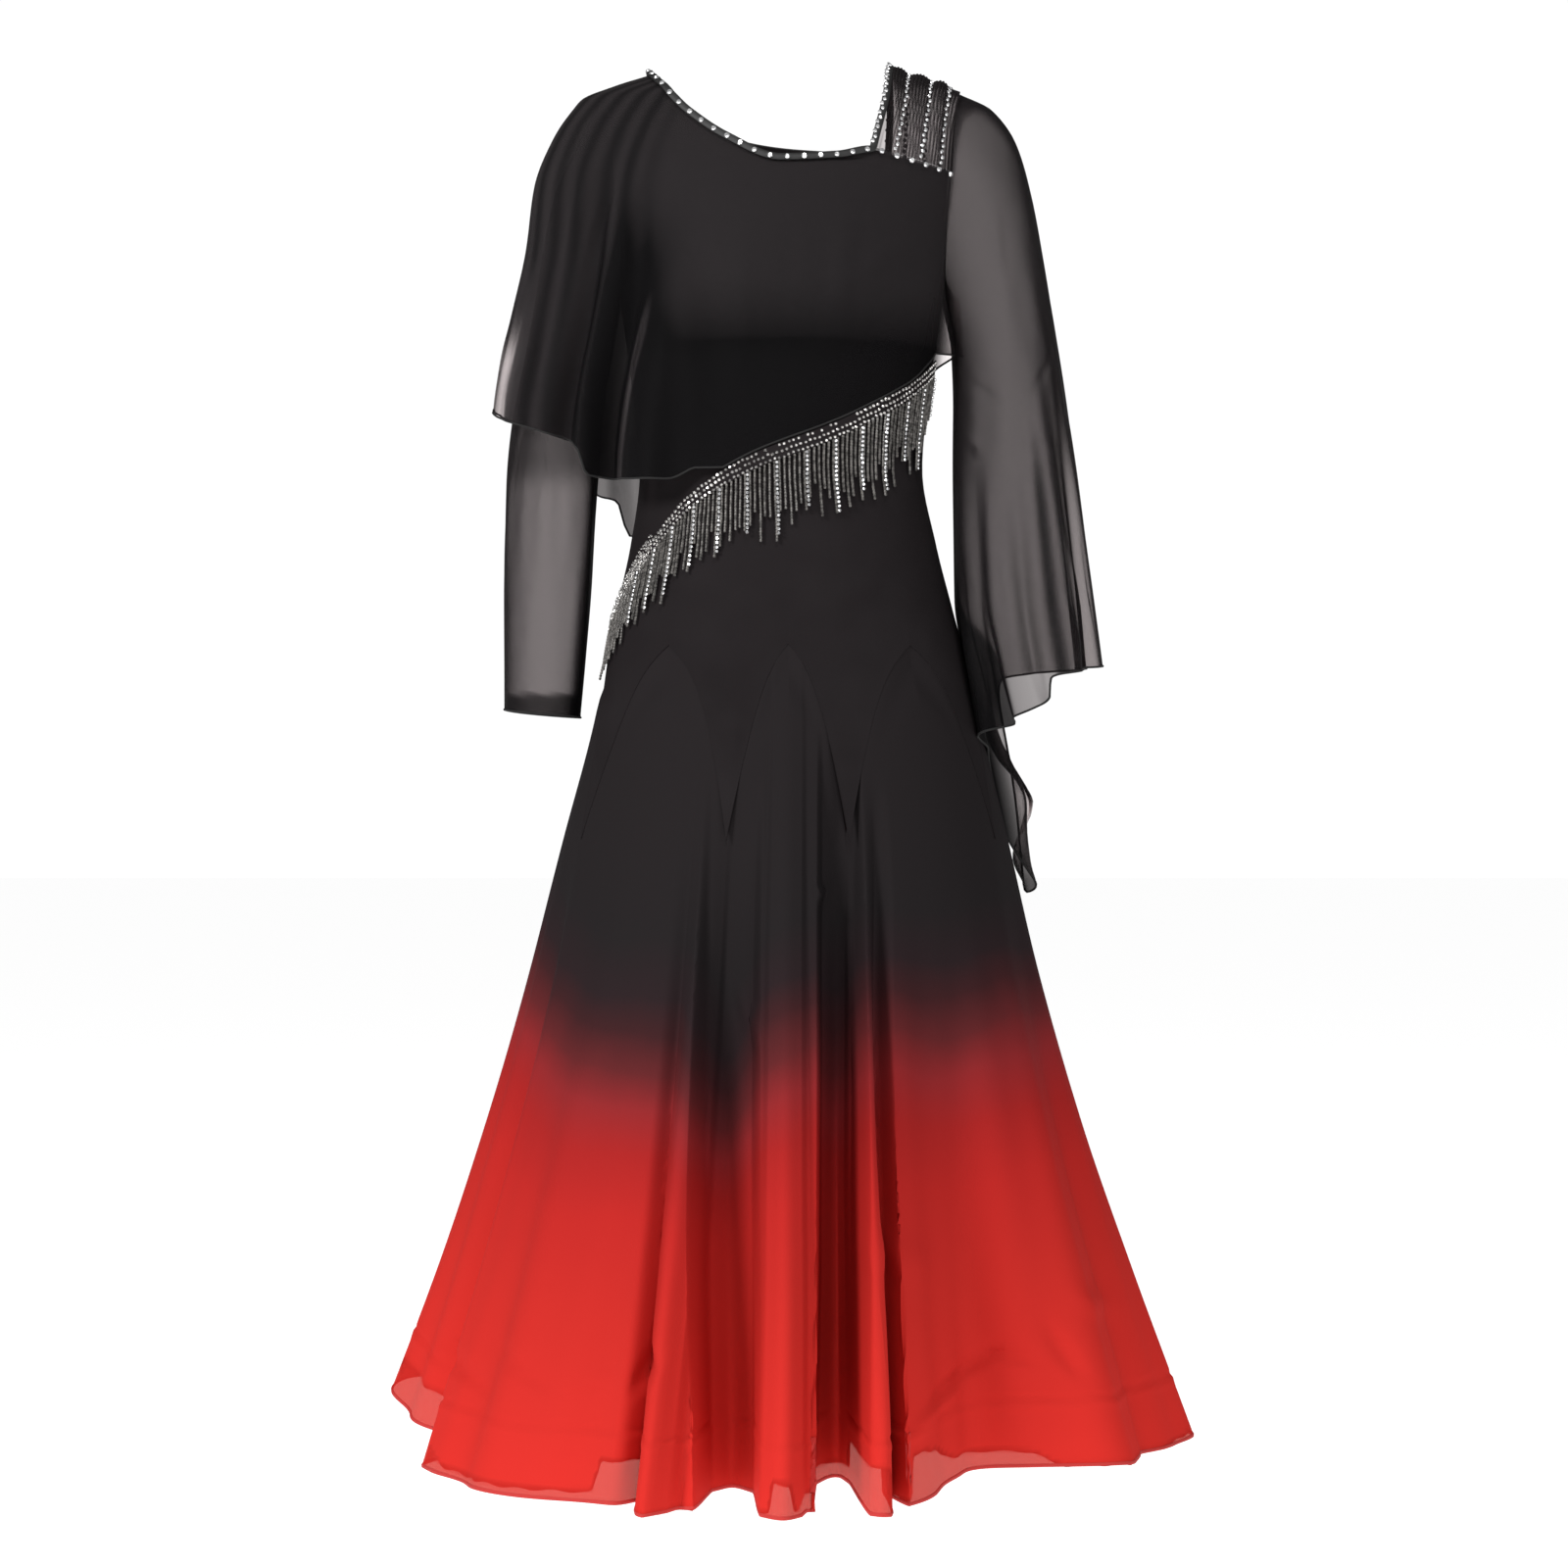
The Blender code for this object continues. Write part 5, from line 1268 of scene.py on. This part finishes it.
def frames_on(out, beside, spin=0.0):
    """Three directions for each copy: beside, along and out, turned by spin about out."""
    out = unit(out)
    beside = square_to(beside, out)
    along = np.cross(out, beside)
    spin = np.broadcast_to(spin, len(out))[:, None]
    c, s = np.cos(spin), np.sin(spin)
    return np.stack([c * beside + s * along, c * along - s * beside, out], 1)


STONE, STONE_FACES = stone_shape()
BEAD, BEAD_FACES = bead_shape()


def stones(name, points, out, beside, radius, finish=CRYSTAL):
    """Flat-backed stones on a surface, each a few percent off its size and turned at random."""
    sizes = radius * chance.uniform(0.93, 1.07, len(points))
    tilt = out + chance.normal(0, 0.08, out.shape)
    turned_so = frames_on(tilt, beside, chance.uniform(0, 6, len(points)))
    return dress(copies(name, STONE, STONE_FACES, points, turned_so, sizes, finish), "bead_fringe")


print("faces of a stone:", len(STONE_FACES), "and of a bead:", len(BEAD_FACES))

# %% [markdown]
# Round stones of 5 mm sit a finger's breadth apart just under the binding, all round the neck and along the lower
# edge of the shoulder mesh. Four chains of 3.8 mm stones run over the shoulder, one on its edge and three on the
# gathers.

# %% Stones at the neck and on the shoulder
NECK_STONES, CHAIN_PITCH = 49, 0.0047
line, line_out, line_down, run_length = neck_line(NECK_STONES, False)
line = line + 0.0036 * line_down + 0.0045 * line_out
stones("neck_stones", line, line_out, line_down, 0.0025)
print("neck stones:", len(line), "at a pitch of", round(float(run_length) / (NECK_STONES - 1), 4), "m")

chain = []
over = np.linspace(-0.97, 0.97, 200)
for place in CHAIN_SHARES:
    share = np.full(200, place)
    edge, edge_out = mesh_normals(share, over)
    lift = DRAPE_EASE + 0.0008 + mesh_rise(share, over) + 0.0032 * (place < 0.1)
    edge = edge + lift[:, None] * edge_out
    count = int(run_along(edge)[-1] / CHAIN_PITCH)
    along, _ = evenly(np.concatenate([edge, edge_out], -1), count, closed=False)
    zigzag = 0.0007 * (-1.0) ** np.arange(count)[:, None]
    sideways = unit(np.cross(along[:, 3:], heading(along[:, :3], False)))
    chain.append(np.concatenate([along[:, :3] + zigzag * sideways, along[:, 3:], sideways], -1))
chain = np.concatenate(chain)
stones("shoulder_stones", chain[:, :3], chain[:, 3:6], chain[:, 6:], 0.0019)
print("shoulder stones:", len(chain))

# %% [markdown]
# The belt line is a band of three rows of 3 mm stones on a strip of crepe, laid over the slanting seam. On the right
# hip it runs into a dense patch of tiny stones. Stones are glued one by one, so each is a little off its row.

# %% The stoned band
BAND_LOW_ANGLE, BAND_HIGH_ANGLE, BAND_WIDTH = -86, 82, 0.014
fine = np.linspace(BAND_LOW_ANGLE, BAND_HIGH_ANGLE, 700)
seam_run = run_along(bare_body(fine, slant_z(fine)))
BAND_LIFT, BAND_PITCH, ROW_HEIGHTS = 0.0034, 0.0041, (-0.0052, 0.0, 0.0052)


def on_body(angle, z, lift):
    """Points lifted off the body form, their outward normals and the direction round the body."""
    n = normals(bare_body, angle, z, 0.05, 0.0004)
    around = bare_body(angle + 0.1, z) - bare_body(angle - 0.1, z)
    return bare_body(angle, z) + np.broadcast_to(lift, z.shape)[..., None] * n, n, around


band_angle = np.interp(np.linspace(0, seam_run[-1], 241), seam_run, fine)
band_z = slant_z(band_angle) + BAND_WIDTH * np.linspace(-0.5, 0.5, 7)[:, None]
strip, strip_out, _ = on_body(np.broadcast_to(band_angle, band_z.shape), band_z, BAND_LIFT)
band = dress(cloth("waist_band_strip", strip, CREPE, out=strip_out), "stretch_crepe", "waist_fringe")

placed = []
for row, height in enumerate(ROW_HEIGHTS):
    number = int(seam_run[-1] / BAND_PITCH)
    at = (np.arange(number) + 0.5 * (row % 2)) * BAND_PITCH + chance.normal(0, 0.0002, number)
    angle = np.interp(at, seam_run, fine)
    thinned = (row == 2) & (angle > -8) & (angle < 38) & (chance.random(number) < 0.35)
    placed.append(np.stack([angle, slant_z(angle) + height + chance.normal(0, 0.0003, number)], -1)[~thinned])
placed = np.concatenate(placed)
points, n, around = on_body(placed[:, 0], placed[:, 1], BAND_LIFT + 0.0001)
stones("waist_band_stones", points, n, around, 0.0015, SMALL_CRYSTAL)

PATCH_ROWS, PATCH_COLUMNS = 26, 14
step, column = np.divmod(np.arange(PATCH_ROWS * PATCH_COLUMNS), PATCH_COLUMNS)
angle = -57 - 1.15 * step + chance.normal(0, 0.25, len(step))
z = slant_z(angle) + 0.0022 * (column - 6.5) + chance.normal(0, 0.0004, len(step))
half = 0.015 - 0.01 * ease((-angle - 70) / 18) + chance.normal(0, 0.002)
kept = np.abs(z - slant_z(angle)) < half
points, n, around = on_body(angle[kept], z[kept], BAND_LIFT + 0.0002)
stones("hip_patch_stones", points, n, around, 0.001, SMALL_CRYSTAL)
print("band stones:", len(placed), "patch stones:", int(kept.sum()))

# %% [markdown]
# From the band's lower edge hangs a comb of bead strands, 4 mm apart and of uneven length. Every seventh strand is
# bold: larger white stones, strung with gaps. A strand lies on the yoke and follows the body form straight down, with
# a little sway of its own, and its beads are set at even steps along it.

# %% The bead fringe
STRAND_PITCH, BOLD_PITCH = 0.00435, 0.0261
STRAND_LENGTHS = (0.034, 0.074, 0.055, 0.07, 0.058, 0.064, 0.05, 0.065, 0.052, 0.056, 0.052, 0.06, 0.052, 0.048)


def strands(places, lengths, step, lift, sway):
    """Bead centres of several strands: for each strand, the points that many steps down from the band."""
    counts = np.maximum((lengths / step).astype(int), 3)
    strand = np.repeat(np.arange(len(places)), counts)
    bead = np.arange(counts.sum()) - np.repeat(np.cumsum(counts) - counts, counts)
    down = (bead + 0.5) * step
    angle = np.interp(seam_run[-1] - places[strand], seam_run, fine)
    z = slant_z(angle) - BAND_WIDTH / 2 - down
    lean = np.degrees(sway[strand] * down + 0.0001 * np.sin(down * 160 + strand)) / 0.12
    return on_body(angle + lean, z, lift[strand] + 0.0002 * np.sin(down * 210 + 2 * strand))


thin = STRAND_PITCH * (np.arange(int(seam_run[-1] / STRAND_PITCH)) + 0.5)
number = np.arange(len(thin))
base = np.interp((thin - STRAND_PITCH) / BOLD_PITCH, np.arange(len(STRAND_LENGTHS)), STRAND_LENGTHS)
long, short = chance.uniform(0.9, 1.1, len(thin)), chance.uniform(0.6, 0.95, len(thin))
lengths = base * np.where(number % 3 == 1, long, short)
lift = 0.0032 + 0.0005 * (number % 2)
centres, n, around = strands(thin, lengths, 0.0024, lift, chance.normal(0, 0.006, len(thin)))
sizes = np.full(len(centres), 0.00135)
thin_fringe = copies("fringe_thin_strands", BEAD, BEAD_FACES, centres, frames_on(n, around), sizes, BEADS)
dress(thin_fringe, "bead_fringe")

bold = STRAND_PITCH + BOLD_PITCH * np.arange(len(STRAND_LENGTHS))
bold = bold[bold < seam_run[-1] - 0.004]
lengths = np.array(STRAND_LENGTHS)[: len(bold)]
centres, n, around = strands(bold, lengths, 0.0037, np.full(len(bold), 0.0048), np.zeros(len(bold)))
stones("fringe_bold_strands", centres, n, around, 0.00155)
print("thin strands:", len(thin), "bold strands:", len(bold), "beads:", len(sizes))

# %% [markdown]
# Each sheet's flat cut is declared, as a pattern maker would write it down: the longest row, the longest column and
# the measured area of the cloth.

for piece in skirt:
    declare(piece)
declare(braid)
for piece in yokes:
    declare(piece, by_top=True)
for piece in bodices:
    declare(piece)
for piece, half in zip(drapes, ("front", "back")):
    declare(piece)
declare(shoulder)
for piece, half in zip(sleeves, ("left", "right")):
    declare(piece)
declare(band)
print("sheets declared:", len(skirt) + len(yokes) + len(bodices) + len(drapes) + len(sleeves) + 3)

# %% [markdown]
# A studio shot on white: a pale floor 23 cm below the hem, a white surround, and three soft lights, one at the
# camera's left, one above it and a weaker one on the right. The camera stands 3.4 m away, level with the thighs.

# %% Floor, light and camera
def studio():
    """The floor, the surround, which camera rays see brighter than the light it casts, and the area lights. Each lamp
    is tilted by the arc cosine of its height share and swung to face its aim."""
    bpy.ops.mesh.primitive_plane_add(size=60, location=(0, 0, -1.4))
    floor = bpy.context.object
    floor.name = "floor"
    floor.data.materials.append(plain("pale_floor", "f7f7f7", 0.9, glow=0.8))
    world = bpy.data.worlds.new("white_surround")
    world.use_nodes = True
    tree = world.node_tree
    seen = add(tree, "LightPath", output="Is Camera Ray")
    strength = add(tree, "Math", {0: seen, 1: 0.83}, operation="MULTIPLY")
    strength = add(tree, "Math", {0: strength, 1: 0.19}, operation="ADD")
    tree.nodes["Background"].inputs["Color"].default_value = (1.0, 1.0, 1.0, 1.0)
    tree.links.new(strength, tree.nodes["Background"].inputs["Strength"])
    scene.world = world
    for name, place, aim, size, power in (
        ("key", (-2.2, -2.2, 1.2), (0.0, 0.0, -0.6), 0.9, 98),
        ("top", (0.1, -2.3, 2.3), (0.0, 0.0, -0.3), 1.2, 48),
        ("fill", (2.2, -2.6, 0.5), (0.0, 0.0, -0.6), 1.6, 27),
    ):
        light = bpy.data.lights.new(name, "AREA")
        light.size, light.energy = size, power
        lamp = bpy.data.objects.new(name, light)
        lamp.location = place
        away = np.array(place) - np.array(aim)
        tilt, swing = math.acos(away[2] / np.linalg.norm(away)), math.atan2(away[1], away[0])
        lamp.rotation_euler = (tilt, 0, swing + math.pi / 2)
        scene.collection.objects.link(lamp)


studio()
camera = bpy.data.cameras.new("camera")
camera.lens, camera.sensor_width = 91.07, 36.0
viewer = bpy.data.objects.new("camera", camera)
viewer.location = (0.0025, -3.4, -0.609)
viewer.rotation_euler = (math.pi / 2, 0, 0)
scene.collection.objects.link(viewer)
scene.camera = viewer
scene.view_settings.view_transform = "Standard"
scene.cycles.transparent_max_bounces = 24
print("camera at", tuple(round(part, 4) for part in viewer.location), "with a lens of", round(camera.lens, 2), "mm")
